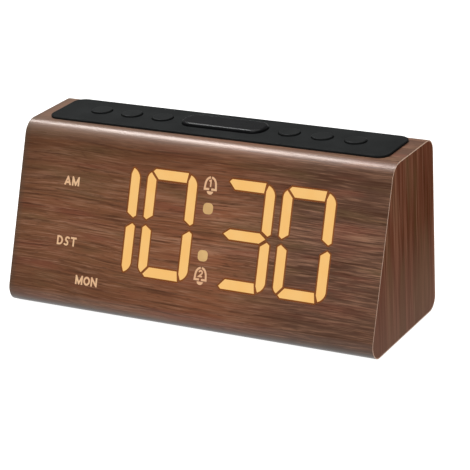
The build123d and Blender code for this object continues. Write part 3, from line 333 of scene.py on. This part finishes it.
class ClockStage(PropertyGroup):
    """Camera, floor and light."""

    azimuth: angle_property("Azimuth", "How far the camera stands round to the right", 29.169)
    elevation: angle_property("Elevation", "How far the camera looks down", 21.441)
    roll: angle_property("Roll", "The camera's tilt about its own axis", -3.005)
    distance: length_property("Distance", "From the camera to its aim", 1.0466)
    aim: FloatVectorProperty(
        name="Aim",
        description="The point that the camera looks at",
        default=(0.0093, -0.0019, 0.0297),
        subtype="XYZ",
    )
    lens: FloatProperty(name="Lens", description="Focal length", default=164.24, unit="CAMERA")
    shift: FloatVectorProperty(
        name="Shift",
        description="How far the frame stands off the lens's axis, as a share of its width",
        size=2,
        default=(0.0067, 0.0415),
    )
    floor: color_property("Floor", "Colour of the floor", "7C7C7B")
    floor_cloud: color_property("Floor clouds", "Colour of the floor's faint clouds", "828281")
    floor_light: color_property("Floor light", "Colour of the light from below the floor", "FFFFFF")
    floor_light_cloud: color_property("Floor light clouds", "The same, in the faint clouds", "FBFBFB")
    floor_glow: FloatProperty(
        name="Floor glow", description="How brightly the floor is lit from below", default=1.02, min=0
    )
    overhead: power_property("Overhead", "Power of the overhead light", 60.0)
    strip: power_property("Strip", "Power of the light over the front edge", 11.0)
    front: power_property("Front", "Power of the front light", 8.0)
    world: FloatProperty(name="Room", description="Brightness of the room", default=0.14, min=0)


# ---- Finishes -----------------------------------------------------------------------------------
# Linear colours of surfaces that show only when the clock is open, and of the lenses when unlit.
MASK_DARK, MASK_LIGHT, MASK_OVER_TRACK = (0.008, 0.060, 0.022), (0.012, 0.085, 0.032), (0.030, 0.150, 0.055)
FIBRE_DARK, FIBRE_LIGHT = (0.13, 0.075, 0.042), (0.30, 0.19, 0.11)
SLEEVE_DARK, SLEEVE_LIGHT, CELL_METAL = (0.055, 0.070, 0.085), (0.085, 0.105, 0.125), (0.62, 0.62, 0.60)
LENS_DARK, LENS_LIGHT = (0.035, 0.020, 0.008), (0.05, 0.03, 0.012)
FILM_RELIEF = 0.03 * MM


def dress(finish, *names):
    """Give CAD nodes a finish."""
    for name in names:
        for slot in nodes[name].material_slots:
            slot.material = finish.material


def wood_finish(name, wood, offset):
    """Printed walnut film on the sleeve: bands, growth lines, streaks, fibres and pores along its width, with
    painted shade under the brow, above the toe, by the left end and where the toe turns under, and a painted
    sheen on the top and the brow.
    """
    finish = Finish(name, Specular_IOR_Level=0.37, Specular_Tint=(1.0, 0.84, 0.77))
    x, y, z = finish.axes()
    streak, fibre, length = wood.streak_width / MM, wood.fibre_width / MM, wood.streak_length / MM
    band, wander = wood.band_width / MM, wood.wander / MM

    straight = finish.point(x, y, z)
    drift = (finish.noise(straight, (120, 60, 60), 1.0, offset=offset) - HALFWAY) * wander
    ripple = (finish.noise(straight, (22, 10, 10), 1.0, offset=offset + 7) - HALFWAY) * (wander / 9)
    at = finish.point(x, y + drift, z + drift + ripple)

    # The marks of the grain, each a noise that is long along the width and narrow across it.
    bands = finish.noise(at, (7 * length, band, band), 2.0, offset=offset)
    rings = finish.noise(at, (9 * length, 2.4 * band, 2.4 * band), 1.0, offset=offset + 23)
    ring_level, ring_width = 0.52, 0.016
    ring_line = finish.fit((rings - ring_level).magnitude(), 0.0, ring_width, 1.0, 0.0)
    streaks = finish.noise(at, (length, streak, streak), 3.0, 0.6, offset=offset + 3)
    pale = finish.noise(at, (length / 2, streak / 1.6, streak / 1.6), 2.0, 0.6, offset=offset + 29)
    fibres = finish.noise(at, (length / 2, fibre, fibre), 2.0, 0.6, offset=offset + 5)
    pores = finish.noise(at, (length / 6, fibre, fibre), 1.0, offset=offset + 11)
    patches = finish.noise(straight, (45, 7, 7), 2.0, offset=offset + 17)

    # Where the tone changes, and where the painted shade and the painted sheen lie, along the width (x), from
    # front to back (y) and up the height (z), in millimetres: each pair is where a change starts and where it
    # is complete.
    left_end, foot = wrap_low.x / MM, wrap_low.z / MM
    left_to_middle, middle_to_right, calm_to_lively = (-60, 10), (15, 60), (-90, 20)
    brow, brow_reach, crown, crown_reach = (52, 80), (60, 0), (81, 87), (90, -20)
    toe, left_shade, front = (28, 8), (-84, -100), (2, -2)
    left_edge, under_toe = (left_end + 3.5, left_end + 0.3), (foot + 6.6, foot + 2.8)
    cut_end = wrap_high.x / MM - 0.02

    left_middle = finish.blend(finish.fit(x, *left_to_middle), wood.middle, wood.centre_middle)
    middle = finish.blend(finish.fit(x, *middle_to_right), left_middle, wood.far_middle)
    lively = finish.fit(x, *calm_to_lively, 0.58, 0.92)
    fine = finish.fit(bands * 0.45 + fibres * 0.55, 0.36, 0.64, -1.0, 1.0) * lively
    darkened = finish.blend(finish.fit(fine, -1.0, -0.1, 0.62, 0.0), middle, wood.dark)
    ground = finish.blend(finish.fit(fine, 0.1, 1.0, 0.0, 0.75), darkened, wood.light)
    cooled = finish.blend(finish.fit(patches, 0.30, 0.46, 0.5, 0.0), ground, wood.olive)
    warmed = finish.blend(finish.fit(patches, 0.54, 0.70, 0.0, 0.5), cooled, wood.warm)
    ringed = finish.blend(ring_line * 0.4, warmed, wood.dark)
    dark_streaked = finish.blend(finish.fit(streaks, 0.50, 0.70, 0.0, 0.75), ringed, wood.dark)
    streaked = finish.blend(finish.fit(pale, 0.53, 0.74, 0.0, 0.65), dark_streaked, wood.light)
    pored = finish.blend(finish.fit(pores, 0.62, 0.74, 0.0, 0.5), streaked, wood.dark)

    # Painted shade: the face is darkened towards the dark streak colour under the brow, above the toe and by
    # its left end, on its front only.
    brow_shade = finish.fit(z, *brow, 0.0, 0.42) * finish.fit(x, *brow_reach, 0.2, 1.0)
    low_face_shade = finish.fit(z, *toe, 0.0, 0.30)
    left_end_shade = finish.fit(x, *left_shade, 0.0, 0.24)
    shade = (brow_shade + low_face_shade + left_end_shade) * finish.fit(y, *front)
    shaded = finish.blend(shade, pored, wood.dark)
    # Painted sheen: the top and the brow are blended towards a grey cast for the sheen of the overhead light.
    crown_sheen = finish.fit(z, *crown, 0.0, 0.62) * finish.fit(x, *crown_reach, 0.2, 1.0)
    with_crown_sheen = finish.blend(crown_sheen, shaded, wood.top_sheen)
    # Painted shade: a darker band along the face beside its left end.
    with_edge_shade = finish.blend(finish.fit(x, *left_edge, 0.0, 0.5), with_crown_sheen, wood.shade_edge)
    # Painted shade: the film goes dark grey where the toe turns under.
    with_toe_shade = finish.blend(finish.fit(z, *under_toe, 0.0, 0.9), with_edge_shade, wood.toe_shade)
    finish.set("Base Color", finish.blend(x.magnitude() > cut_end, with_toe_shade, wood.cut_edge))
    finish.set("Roughness", finish.fit(fibres, *USUAL, 0.34, 0.27))
    finish.bump(fibres * 0.5 - streaks * 0.5 - finish.fit(pores, 0.6, 0.75) * 0.4, FILM_RELIEF)
    return finish


def side_finish(name, wood, offset):
    """Printed walnut film on an end: soft upright bands with a few thin pale and dark lines, paler and greyer
    towards the table as a painted reflection of the floor.
    """
    finish = Finish(name, Specular_IOR_Level=0.0)
    x, y, z = finish.axes()
    band, streak, length = wood.band_width / MM, wood.streak_width / MM, wood.streak_length / MM
    wander, towards_table = wood.wander / MM, (52, 0)
    straight = finish.point(x, y, z)
    drift = (finish.noise(straight, (60, 60, 90), 1.0, offset=offset) - HALFWAY) * (wander / 3)
    at = finish.point(x, y + drift, z)
    bands = finish.noise(at, (band, 0.6 * band, 3 * length), 2.0, offset=offset)
    streaks = finish.noise(at, (streak, 0.8 * streak, length), 3.0, 0.6, offset=offset + 3)
    thin = finish.noise(at, (streak, 0.6 * streak, 1.5 * length), 1.0, offset=offset + 9)
    patches = finish.noise(at, (12, 9, 50), 2.0, offset=offset + 17)
    ground = finish.ramp(
        finish.fit(bands * 0.6 + streaks * 0.4, 0.31, 0.69),
        [(0.0, wood.end_dark), (0.5, wood.end_middle), (1.0, wood.end_light)],
    )
    cooled = finish.blend(finish.fit(patches, 0.34, 0.5, 0.4, 0.0), ground, wood.olive)
    warmed = finish.blend(finish.fit(patches, 0.52, 0.68, 0.0, 0.25), cooled, wood.warm)
    lined = finish.blend(finish.fit(thin, 0.60, 0.76, 0.0, 0.45), warmed, wood.light)
    streaked = finish.blend(finish.fit(thin, 0.24, 0.38, 0.3, 0.0), lined, wood.end_dark)
    # Painted reflection: the ends turn paler and greyer towards the table, for the bright floor.
    with_floor_reflection = finish.blend(finish.fit(z, *towards_table, 0.0, 0.42), streaked, wood.end_floor_reflection)
    finish.set("Base Color", with_floor_reflection)
    finish.set("Roughness", finish.fit(streaks, *USUAL, 0.5, 0.42))
    finish.bump(streaks, FILM_RELIEF)
    return finish


def moulded_finish(name, color, grain, roughness, specular, depth=0.03 * MM):
    """Moulded plastic with a fine spark-eroded texture and a faint cloudiness."""
    finish = Finish(name, Specular_IOR_Level=specular)
    at = finish.point(*finish.axes())
    size = grain / MM
    texture = finish.noise(at, (size,) * 3, 3.0, 0.6)
    cloud = finish.noise(at, (14, 14, 14), 2.0, offset=4)
    darker = tuple(0.80 * c for c in color)
    lighter = tuple(min(1.0, 1.18 * c) for c in color)
    mottle = finish.fit(cloud * 0.6 + texture * 0.4, 0.35, 0.65)
    finish.set("Base Color", finish.blend(mottle, darker, lighter))
    finish.set("Roughness", finish.fit(texture, *USUAL, roughness - 0.06, roughness + 0.08))
    finish.bump(texture, depth)
    return finish


def metal_finish(name, color, roughness=0.28, brushed=(8.0, 0.25, 0.25)):
    """Plated or bare metal with fine draw lines."""
    finish = Finish(name, Metallic=1.0)
    at = finish.point(*finish.axes())
    lines = finish.noise(at, brushed, 3.0, 0.6)
    dull = finish.noise(at, (5, 5, 5), 2.0, offset=9)
    darker = tuple(0.82 * c for c in color)
    finish.set("Base Color", finish.blend(finish.fit(dull, 0.35, 0.65), darker, color))
    wear = lines * 0.6 + dull * 0.4
    finish.set("Roughness", finish.fit(wear, *USUAL, roughness - 0.08, roughness + 0.10))
    finish.bump(lines, 0.01 * MM)
    return finish


def glow_finish(name, color, weak, strength):
    """A diffusing light guide that is lit from behind, a little weaker in places."""
    finish = Finish(name, Specular_IOR_Level=0.25, Emission_Strength=strength)
    at = finish.point(*finish.axes())
    glow = finish.noise(at, (9, 9, 9), 2.0)
    frost = finish.noise(at, (0.6, 0.6, 0.6), 2.0, offset=6)
    lit = finish.blend(finish.fit(glow, 0.40, 0.66), color, weak)
    frosted = finish.blend(finish.fit(frost, *USUAL, 0.0, 0.08), lit, weak, "MULTIPLY")
    finish.set("Emission Color", frosted)
    finish.set("Base Color", finish.blend(finish.fit(frost, *USUAL), LENS_DARK, LENS_LIGHT))
    finish.set("Roughness", finish.fit(frost, *USUAL, 0.42, 0.52))
    return finish


def board_finish(name):
    """Green solder mask over copper tracks, with a glossy skin."""
    finish = Finish(name, Specular_IOR_Level=0.5)
    at = finish.point(*finish.axes())
    tracks_per_mm = 0.35
    cells = finish.node(
        "ShaderNodeTexVoronoi",
        {"feature": "DISTANCE_TO_EDGE", "distance": "EUCLIDEAN"},
        {"Vector": finish.scaled(at, tracks_per_mm), "Scale": 1.0},
    )
    track = finish.fit(cells, 0.05, 0.08, 1.0, 0.0)
    cloud = finish.noise(at, (10, 10, 10), 2.0)
    mask = finish.blend(finish.fit(cloud, *USUAL), MASK_DARK, MASK_LIGHT)
    finish.set("Base Color", finish.blend(track, mask, MASK_OVER_TRACK))
    finish.set("Roughness", finish.fit(cloud, *USUAL, 0.25, 0.38))
    finish.bump(track, 0.035 * MM)
    return finish


def fibreboard_finish(name):
    """Pressed fibreboard, speckled with short fibres."""
    finish = Finish(name, Specular_IOR_Level=0.15)
    at = finish.point(*finish.axes())
    fibres = finish.noise(at, (1.4, 0.5, 0.5), 4.0, 0.7)
    finish.set("Base Color", finish.blend(finish.fit(fibres, *USUAL), FIBRE_DARK, FIBRE_LIGHT))
    finish.set("Roughness", finish.fit(fibres, *USUAL, 0.75, 0.92))
    finish.bump(fibres, 0.08 * MM)
    return finish


def cell_finish(name):
    """A battery's plain sleeve, bare metal at the two ends."""
    finish = Finish(name, Specular_IOR_Level=0.5)
    low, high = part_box("battery_cells")
    x, y, z = finish.axes()
    at = finish.point(x, y, z)
    reach, bare = (high.x - low.x) / 2 / MM, 1.9
    metal = x.magnitude() > (reach - bare)
    scuff = finish.noise(at, (6, 1.5, 1.5), 3.0, 0.6)
    sleeve = finish.blend(finish.fit(scuff, 0.35, 0.65), SLEEVE_DARK, SLEEVE_LIGHT)
    finish.set("Base Color", finish.blend(metal, sleeve, CELL_METAL))
    finish.set("Metallic", metal)
    finish.set("Roughness", finish.fit(scuff, *USUAL, 0.24, 0.36))
    finish.bump(scuff, 0.01 * MM)
    return finish


def ribbon_finish(name, color, pitch):
    """A flat ribbon cable: a low rounded ridge over each of its wires, with painted shade in the grooves
    between them.
    """
    finish = Finish(name, Specular_IOR_Level=0.35)
    at = finish.point(*finish.axes())
    # A Wave texture of scale 1 has a band every pi / 10.
    wave = finish.node(
        "ShaderNodeTexWave",
        {"wave_type": "BANDS", "bands_direction": "X", "wave_profile": "SIN"},
        {"Vector": at, "Scale": math.pi / 10 / pitch * MM, "Distortion": 0.0},
    )
    groove_shade = finish.fit(wave, 0.0, 0.35, 1.0, 0.0)
    cloud = finish.noise(at, (8, 8, 8), 2.0)
    darker = tuple(0.6 * c for c in color)
    # Painted shade: the colour darkens in the grooves between the wires.
    finish.set("Base Color", finish.blend(groove_shade * 0.7, color, darker))
    finish.set("Roughness", finish.fit(cloud, *USUAL, 0.36, 0.46))
    finish.bump(wave, 0.25 * MM)
    return finish


# ---- Repeated small pieces ----------------------------------------------------------------------
def block_row_tree():
    """A geometry tree that makes a row of equal blocks."""
    tree = bpy.data.node_groups.new("block_row", "GeometryNodeTree")
    kinds = {"Count": "Int", "Start": "Vector", "Step": "Vector", "Size": "Vector", "Material": "Material"}
    for name, kind in kinds.items():
        tree.interface.new_socket(name, in_out="INPUT", socket_type=f"NodeSocket{kind}")
    tree.interface.new_socket("Geometry", in_out="OUTPUT", socket_type="NodeSocketGeometry")
    given, made = tree.nodes.new("NodeGroupInput"), tree.nodes.new("NodeGroupOutput")
    line, block = tree.nodes.new("GeometryNodeMeshLine"), tree.nodes.new("GeometryNodeMeshCube")
    placed = tree.nodes.new("GeometryNodeInstanceOnPoints")
    real = tree.nodes.new("GeometryNodeRealizeInstances")
    paint = tree.nodes.new("GeometryNodeSetMaterial")
    for source, target in (
        (given.outputs["Count"], line.inputs["Count"]),
        (given.outputs["Start"], line.inputs["Start Location"]),
        (given.outputs["Step"], line.inputs["Offset"]),
        (given.outputs["Size"], block.inputs["Size"]),
        (line.outputs["Mesh"], placed.inputs["Points"]),
        (block.outputs["Mesh"], placed.inputs["Instance"]),
        (placed.outputs["Instances"], real.inputs["Geometry"]),
        (real.outputs["Geometry"], paint.inputs["Geometry"]),
        (given.outputs["Material"], paint.inputs["Material"]),
        (paint.outputs["Geometry"], made.inputs["Geometry"]),
    ):
        tree.links.new(source, target)
    return tree


def block_row(name, body, finish, count, start, step, size):
    """A row of equal blocks that moves with a body."""
    tree = bpy.data.node_groups.get("block_row") or block_row_tree()
    holder = bpy.data.objects.new("row_holder", bpy.data.meshes.new("row_holder"))
    bpy.context.scene.collection.objects.link(holder)
    row = holder.modifiers.new("row", "NODES")
    row.node_group = tree
    values = {"Count": count, "Start": start, "Step": step, "Size": size, "Material": finish.material}
    for socket in tree.interface.items_tree:
        if socket.in_out == "INPUT":
            row[socket.identifier] = values[socket.name]
    shown = holder.evaluated_get(bpy.context.evaluated_depsgraph_get())
    piece = bpy.data.objects.new(name, bpy.data.meshes.new_from_object(shown))
    bpy.data.objects.remove(holder)
    bpy.context.scene.collection.objects.link(piece)
    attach(piece, body)


# ---- Pieces -------------------------------------------------------------------------------------
class CLOCK_OT_wood_film(Operator):
    """Walnut-grain film round the sleeve and on its two ends"""

    bl_idname = "clock.wood_film"
    bl_label = "Wood Film"

    def execute(self, context):
        wood = context.scene.clock_wood
        dress(wood_finish("wrap_wood", wood, offset=2.0), "veneer_wrap")
        dress(side_finish("left_wood", wood, offset=31.0), "side_veneer_left")
        dress(side_finish("right_wood", wood, offset=47.0), "side_veneer_right")
        return {"FINISHED"}


class CLOCK_OT_case(Operator):
    """Moulded sleeve, end panels and feet"""

    bl_idname = "clock.case"
    bl_label = "Case"

    def execute(self, context):
        plastic = context.scene.clock_plastic
        shell = moulded_finish("shell_brown", plastic.shell, plastic.grain, roughness=0.6, specular=0.2)
        rubber = moulded_finish("foot_rubber", plastic.foot, 0.25 * MM, 0.8, 0.15, depth=0.05 * MM)
        dress(shell, "body_shell")
        dress(fibreboard_finish("panel_fibreboard"), "side_panel_left", "side_panel_right")
        dress(rubber, "rubber_feet")
        return {"FINISHED"}


class CLOCK_OT_display(Operator):
    """Lit digits, dim colon, words and bells, and what holds them"""

    bl_idname = "clock.display"
    bl_label = "Display"

    def execute(self, context):
        display = context.scene.clock_display
        digits = glow_finish("digit_amber", display.digit, display.digit_end, strength=0.90)
        colon = glow_finish("colon_amber", display.colon, display.colon_end, strength=0.95)
        words = glow_finish("indicator_amber", display.indicator, display.indicator_end, strength=0.95)
        unlit = moulded_finish("unlit_lens", display.unlit, 0.6 * MM, roughness=0.4, specular=0.4)
        rim = moulded_finish("reflector_brown", display.rim, 0.5 * MM, roughness=0.6, specular=0.2)
        # Painted glow: the reflector gives off light of its own for the light that its segments spill on its
        # rim.
        rim.set("Emission Color", display.rim_glow)
        rim.set("Emission Strength", 0.8)
        dress(digits, "segment_lenses_lit")
        dress(colon, "colon_lenses")
        dress(words, "indicator_lenses")
        dress(unlit, "segment_lenses_dark")
        dress(rim, "display_reflector")
        return {"FINISHED"}


class CLOCK_OT_key_deck(Operator):
    """Black key deck, its round keys and the snooze bar"""

    bl_idname = "clock.key_deck"
    bl_label = "Key Deck"

    def execute(self, context):
        plastic = context.scene.clock_plastic
        keys = [name for name in nodes if name.startswith("key_") and nodes[name]["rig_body"] != "case"]
        deck = moulded_finish("deck_black", plastic.deck, plastic.grain, 0.55, 0.03)
        key = moulded_finish("key_black", plastic.key, plastic.grain, 0.45, 0.05, depth=0.015 * MM)
        bar = moulded_finish("snooze_black", plastic.snooze, plastic.grain, 0.29, 0.12, depth=0.004 * MM)
        dress(deck, "key_deck")
        dress(key, *keys)
        dress(bar, "snooze_bar")
        return {"FINISHED"}


class CLOCK_OT_back(Operator):
    """Rear plate with its sockets, slider and screws"""

    bl_idname = "clock.back"
    bl_label = "Back"

    def execute(self, context):
        plastic, metal = context.scene.clock_plastic, context.scene.clock_metal
        plate = moulded_finish("rear_black", plastic.rear, plastic.grain, 0.55, 0.25)
        inlet = moulded_finish("inlet_nylon", plastic.inlet, 0.5 * MM, 0.35, 0.45, depth=0.006 * MM)
        knob = moulded_finish("knob_acetal", plastic.knob, 0.4 * MM, 0.4, 0.4, depth=0.01 * MM)
        tongue = moulded_finish("tongue_white", plastic.tongue, 0.5 * MM, 0.4, 0.4, depth=0.006 * MM)
        dress(plate, "rear_plate")
        dress(inlet, "power_inlet")
        dress(knob, "volume_switch_knob")
        self.add_grip(knob)
        dress(tongue, "usb_socket_tongue")
        dress(metal_finish("socket_nickel", metal.socket), "usb_socket_shell", "volume_switch_body")
        dress(metal_finish("contact_nickel", metal.contact, 0.22), "power_inlet_pin", "battery_contacts")
        dress(metal_finish("screw_black_oxide", metal.rear_screw, 0.42), "rear_plate_screws")
        return {"FINISHED"}

    def add_grip(self, finish):
        """Upright ridges on the slider's outer end, for a fingernail."""
        low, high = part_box("volume_switch_knob")
        middle = (low + high) / 2
        ridges, end_gap = 4, 0.5
        width, depth, proud, margin = 0.24 * MM, 0.3 * MM, 0.08 * MM, 0.15 * MM
        step = (high.x - low.x) / (ridges + end_gap)
        start = (middle.x - step * (ridges - 1) / 2, high.y - depth / 2 + proud, middle.z)
        size = (width, depth, high.z - low.z - 2 * margin)
        block_row("volume_knob_ridges", "volume_knob", finish, ridges, start, (step, 0, 0), size)


class CLOCK_OT_battery_bay(Operator):
    """Battery bay, its door, cells, springs and leads"""

    bl_idname = "clock.battery_bay"
    bl_label = "Battery Bay"

    def execute(self, context):
        plastic = context.scene.clock_plastic
        bay = moulded_finish("bay_black", plastic.bay, plastic.grain, 0.55, 0.25)
        door = moulded_finish("door_black", plastic.door, plastic.grain, 0.58, 0.25)
        lead_color = context.scene.clock_electronics.lead
        lead = moulded_finish("lead_sleeve", lead_color, 0.8 * MM, 0.35, 0.4, depth=0.004 * MM)
        dress(bay, "battery_box")
        dress(door, "battery_door")
        dress(cell_finish("cell_sleeve"), "battery_cells")
        dress(metal_finish("spring_nickel", context.scene.clock_metal.spring, 0.2), "battery_springs")
        dress(lead, "battery_leads")
        return {"FINISHED"}


class CLOCK_OT_electronics(Operator):
    """Circuit boards and everything that stands on them"""

    bl_idname = "clock.electronics"
    bl_label = "Electronics"

    def execute(self, context):
        metal, parts = context.scene.clock_metal, context.scene.clock_electronics
        dress(board_finish("solder_mask"), "display_board", "key_board", "main_board")
        screws = ("display_board_screws", "key_board_screws", "main_board_screws")
        dress(metal_finish("screw_zinc", metal.board_screw), *screws)
        dress(metal_finish("switch_steel", metal.switch), "key_switches")
        dress(metal_finish("crystal_can", metal.crystal, 0.2), "clock_crystal")
        plungers = tuple(name for name in nodes if name.startswith("plunger"))
        plunger = context.scene.clock_plastic.plunger
        for names, settings in {
            ("controller_chip", "display_driver_chip"): ("chip_resin", parts.chip, 0.3 * MM, 0.5, 0.3),
            ("power_inductor",): ("ferrite", parts.ferrite, 0.4 * MM, 0.7, 0.2),
            ("smoothing_capacitors",): ("capacitor_sleeve", parts.capacitor, 1.2 * MM, 0.3, 0.5, 0.004 * MM),
            ("buzzer",): ("sounder_black", parts.sounder, 0.4 * MM, 0.5, 0.3),
            ("board_connectors",): ("nylon", parts.connector, 0.6 * MM, 0.45, 0.4),
            ("led_chips",): ("led_body", parts.led, 0.5 * MM, 0.4, 0.4),
            plungers: ("plunger_acetal", plunger, 0.4 * MM, 0.4, 0.35),
        }.items():
            dress(moulded_finish(*settings), *names)
        dress(ribbon_finish("ribbon_grey", parts.ribbon, pitch=1.0 * MM), "display_ribbon", "key_ribbon")
        self.add_pins(metal_finish("pin_tin", metal.pin, 0.3, brushed=(0.4, 0.4, 3.0)))
        return {"FINISHED"}

    def add_pins(self, finish):
        """The ribbon connectors' tinned pins, where they come out under the main board."""
        pins, pitch, width, length, rooted = 10, 1.25 * MM, 0.5 * MM, 1.6 * MM, 0.2 * MM
        half_ribbon = 0.45 * MM
        middle_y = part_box("key_ribbon")[0].y + half_ribbon
        middle_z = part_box("main_board")[0].z - length / 2 + rooted
        for ribbon in ("display_ribbon", "key_ribbon"):
            low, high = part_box(ribbon)
            start = ((low.x + high.x) / 2 - pitch * (pins - 1) / 2, middle_y, middle_z)
            size = (width, width, length)
            block_row(f"{ribbon}_pins", "case", finish, pins, start, (pitch, 0, 0), size)


# ---- Stage --------------------------------------------------------------------------------------
def softbox(name, place, aim, size, power, turn):
    """A rectangular studio light that faces a point, turned about its own axis."""
    lamp = bpy.data.lights.new(name, "AREA")
    lamp.shape = "RECTANGLE"
    lamp.size, lamp.size_y = size
    lamp.energy = power
    light = bpy.data.objects.new(name, lamp)
    light.location = place
    facing = (Vector(aim) - Vector(place)).to_track_quat("-Z", "Y")
    light.rotation_euler = (facing @ Quaternion((0, 0, 1), turn)).to_euler()
    bpy.context.scene.collection.objects.link(light)


class CLOCK_OT_stage(Operator):
    """Pale floor, soft studio light and the camera"""

    bl_idname = "clock.stage"
    bl_label = "Stage"

    def execute(self, context):
        scene, stage = context.scene, context.scene.clock_stage
        self.make_floor(stage)
        self.make_lights(scene, stage)
        self.make_camera(scene, stage)
        scene.view_settings.view_transform = "Standard"
        return {"FINISHED"}

    def make_floor(self, stage):
        reach, cloud_size = 6.0, 400
        mesh = bpy.data.meshes.new("floor")
        corners = [(-reach, -reach, 0), (reach, -reach, 0), (reach, reach, 0), (-reach, reach, 0)]
        mesh.from_pydata(corners, [], [(0, 1, 2, 3)])
        floor = bpy.data.objects.new("floor", mesh)
        bpy.context.scene.collection.objects.link(floor)
        finish = Finish("floor_acrylic", Specular_IOR_Level=0.0, Roughness=0.9)
        finish.set("Emission Strength", stage.floor_glow)
        cloud = finish.noise(finish.point(*finish.axes()), (cloud_size,) * 3)
        finish.set("Base Color", finish.blend(cloud, stage.floor, stage.floor_cloud))
        finish.set("Emission Color", finish.blend(cloud, stage.floor_light, stage.floor_light_cloud))
        mesh.materials.append(finish.material)

    def make_lights(self, scene, stage):
        world = bpy.data.worlds.new("room")
        world.use_nodes = True
        background = world.node_tree.nodes["Background"]
        background.inputs["Color"].default_value = (1.0, 1.0, 1.0, 1.0)
        background.inputs["Strength"].default_value = stage.world
        scene.world = world
        middle = (cad_low + cad_high) / 2
        for name, place, size, power, degrees in (
            ("overhead", (0.0, 0.0, 2.2), (2.6, 2.6), stage.overhead, 0),
            ("strip", (-0.47, 0.18, 1.0), (0.19, 0.66), stage.strip, -33),
            ("front", (0.5, -1.3, 1.0), (0.8, 0.6), stage.front, 0),
        ):
            softbox(name, place, middle, size, power, math.radians(degrees))

    def make_camera(self, scene, stage):
        turn, rise, roll = stage.azimuth, stage.elevation, stage.roll
        back = Vector((math.sin(turn) * math.cos(rise), -math.cos(turn) * math.cos(rise), math.sin(rise)))
        level = Vector((math.cos(turn), math.sin(turn), 0))
        above = back.cross(level)
        right = math.cos(roll) * level + math.sin(roll) * above
        up = math.cos(roll) * above - math.sin(roll) * level
        lens = bpy.data.cameras.new("camera")
        lens.lens = stage.lens
        lens.shift_x, lens.shift_y = stage.shift
        lens.clip_start = 0.05
        camera = bpy.data.objects.new("camera", lens)
        axes = Matrix((right, up, back)).transposed().to_4x4()
        camera.matrix_world = Matrix.Translation(Vector(stage.aim) + stage.distance * back) @ axes
        scene.collection.objects.link(camera)
        scene.camera = camera


class CLOCK_PT_looks(Panel):
    """Lists the clock's pieces and their settings"""

    bl_idname = "CLOCK_PT_looks"
    bl_label = "Alarm Clock"
    bl_space_type = "VIEW_3D"
    bl_region_type = "UI"
    bl_category = "Clock"

    def draw(self, context):
        for operator in OPERATORS:
            self.layout.operator(operator.bl_idname)
        for group, title in GROUPS.items():
            box = self.layout.box()
            box.label(text=title)
            settings = getattr(context.scene, group)
            for name in settings.bl_rna.properties.keys():
                if name not in ("rna_type", "name"):
                    box.prop(settings, name)


OPERATORS = (
    CLOCK_OT_wood_film,
    CLOCK_OT_case,
    CLOCK_OT_display,
    CLOCK_OT_key_deck,
    CLOCK_OT_back,
    CLOCK_OT_battery_bay,
    CLOCK_OT_electronics,
    CLOCK_OT_stage,
)
GROUPS = {
    "clock_wood": "Wood film",
    "clock_display": "Display",
    "clock_plastic": "Plastic",
    "clock_metal": "Metal",
    "clock_electronics": "Electronics",
    "clock_stage": "Stage",
}
SETTINGS = (ClockWood, ClockDisplay, ClockPlastic, ClockMetal, ClockElectronics, ClockStage)


def register():
    for cls in (*SETTINGS, *OPERATORS, CLOCK_PT_looks):
        bpy.utils.register_class(cls)
    for group, cls in zip(GROUPS, SETTINGS):
        setattr(bpy.types.Scene, group, PointerProperty(type=cls))


def unregister():
    for group in GROUPS:
        delattr(bpy.types.Scene, group)
    for cls in reversed((*SETTINGS, *OPERATORS, CLOCK_PT_looks)):
        bpy.utils.unregister_class(cls)


def main():
    """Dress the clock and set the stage."""
    register()
    bpy.ops.clock.wood_film()
    bpy.ops.clock.case()
    bpy.ops.clock.display()
    bpy.ops.clock.key_deck()
    bpy.ops.clock.back()
    bpy.ops.clock.battery_bay()
    bpy.ops.clock.electronics()
    bpy.ops.clock.stage()


if __name__ == "__main__":
    main()
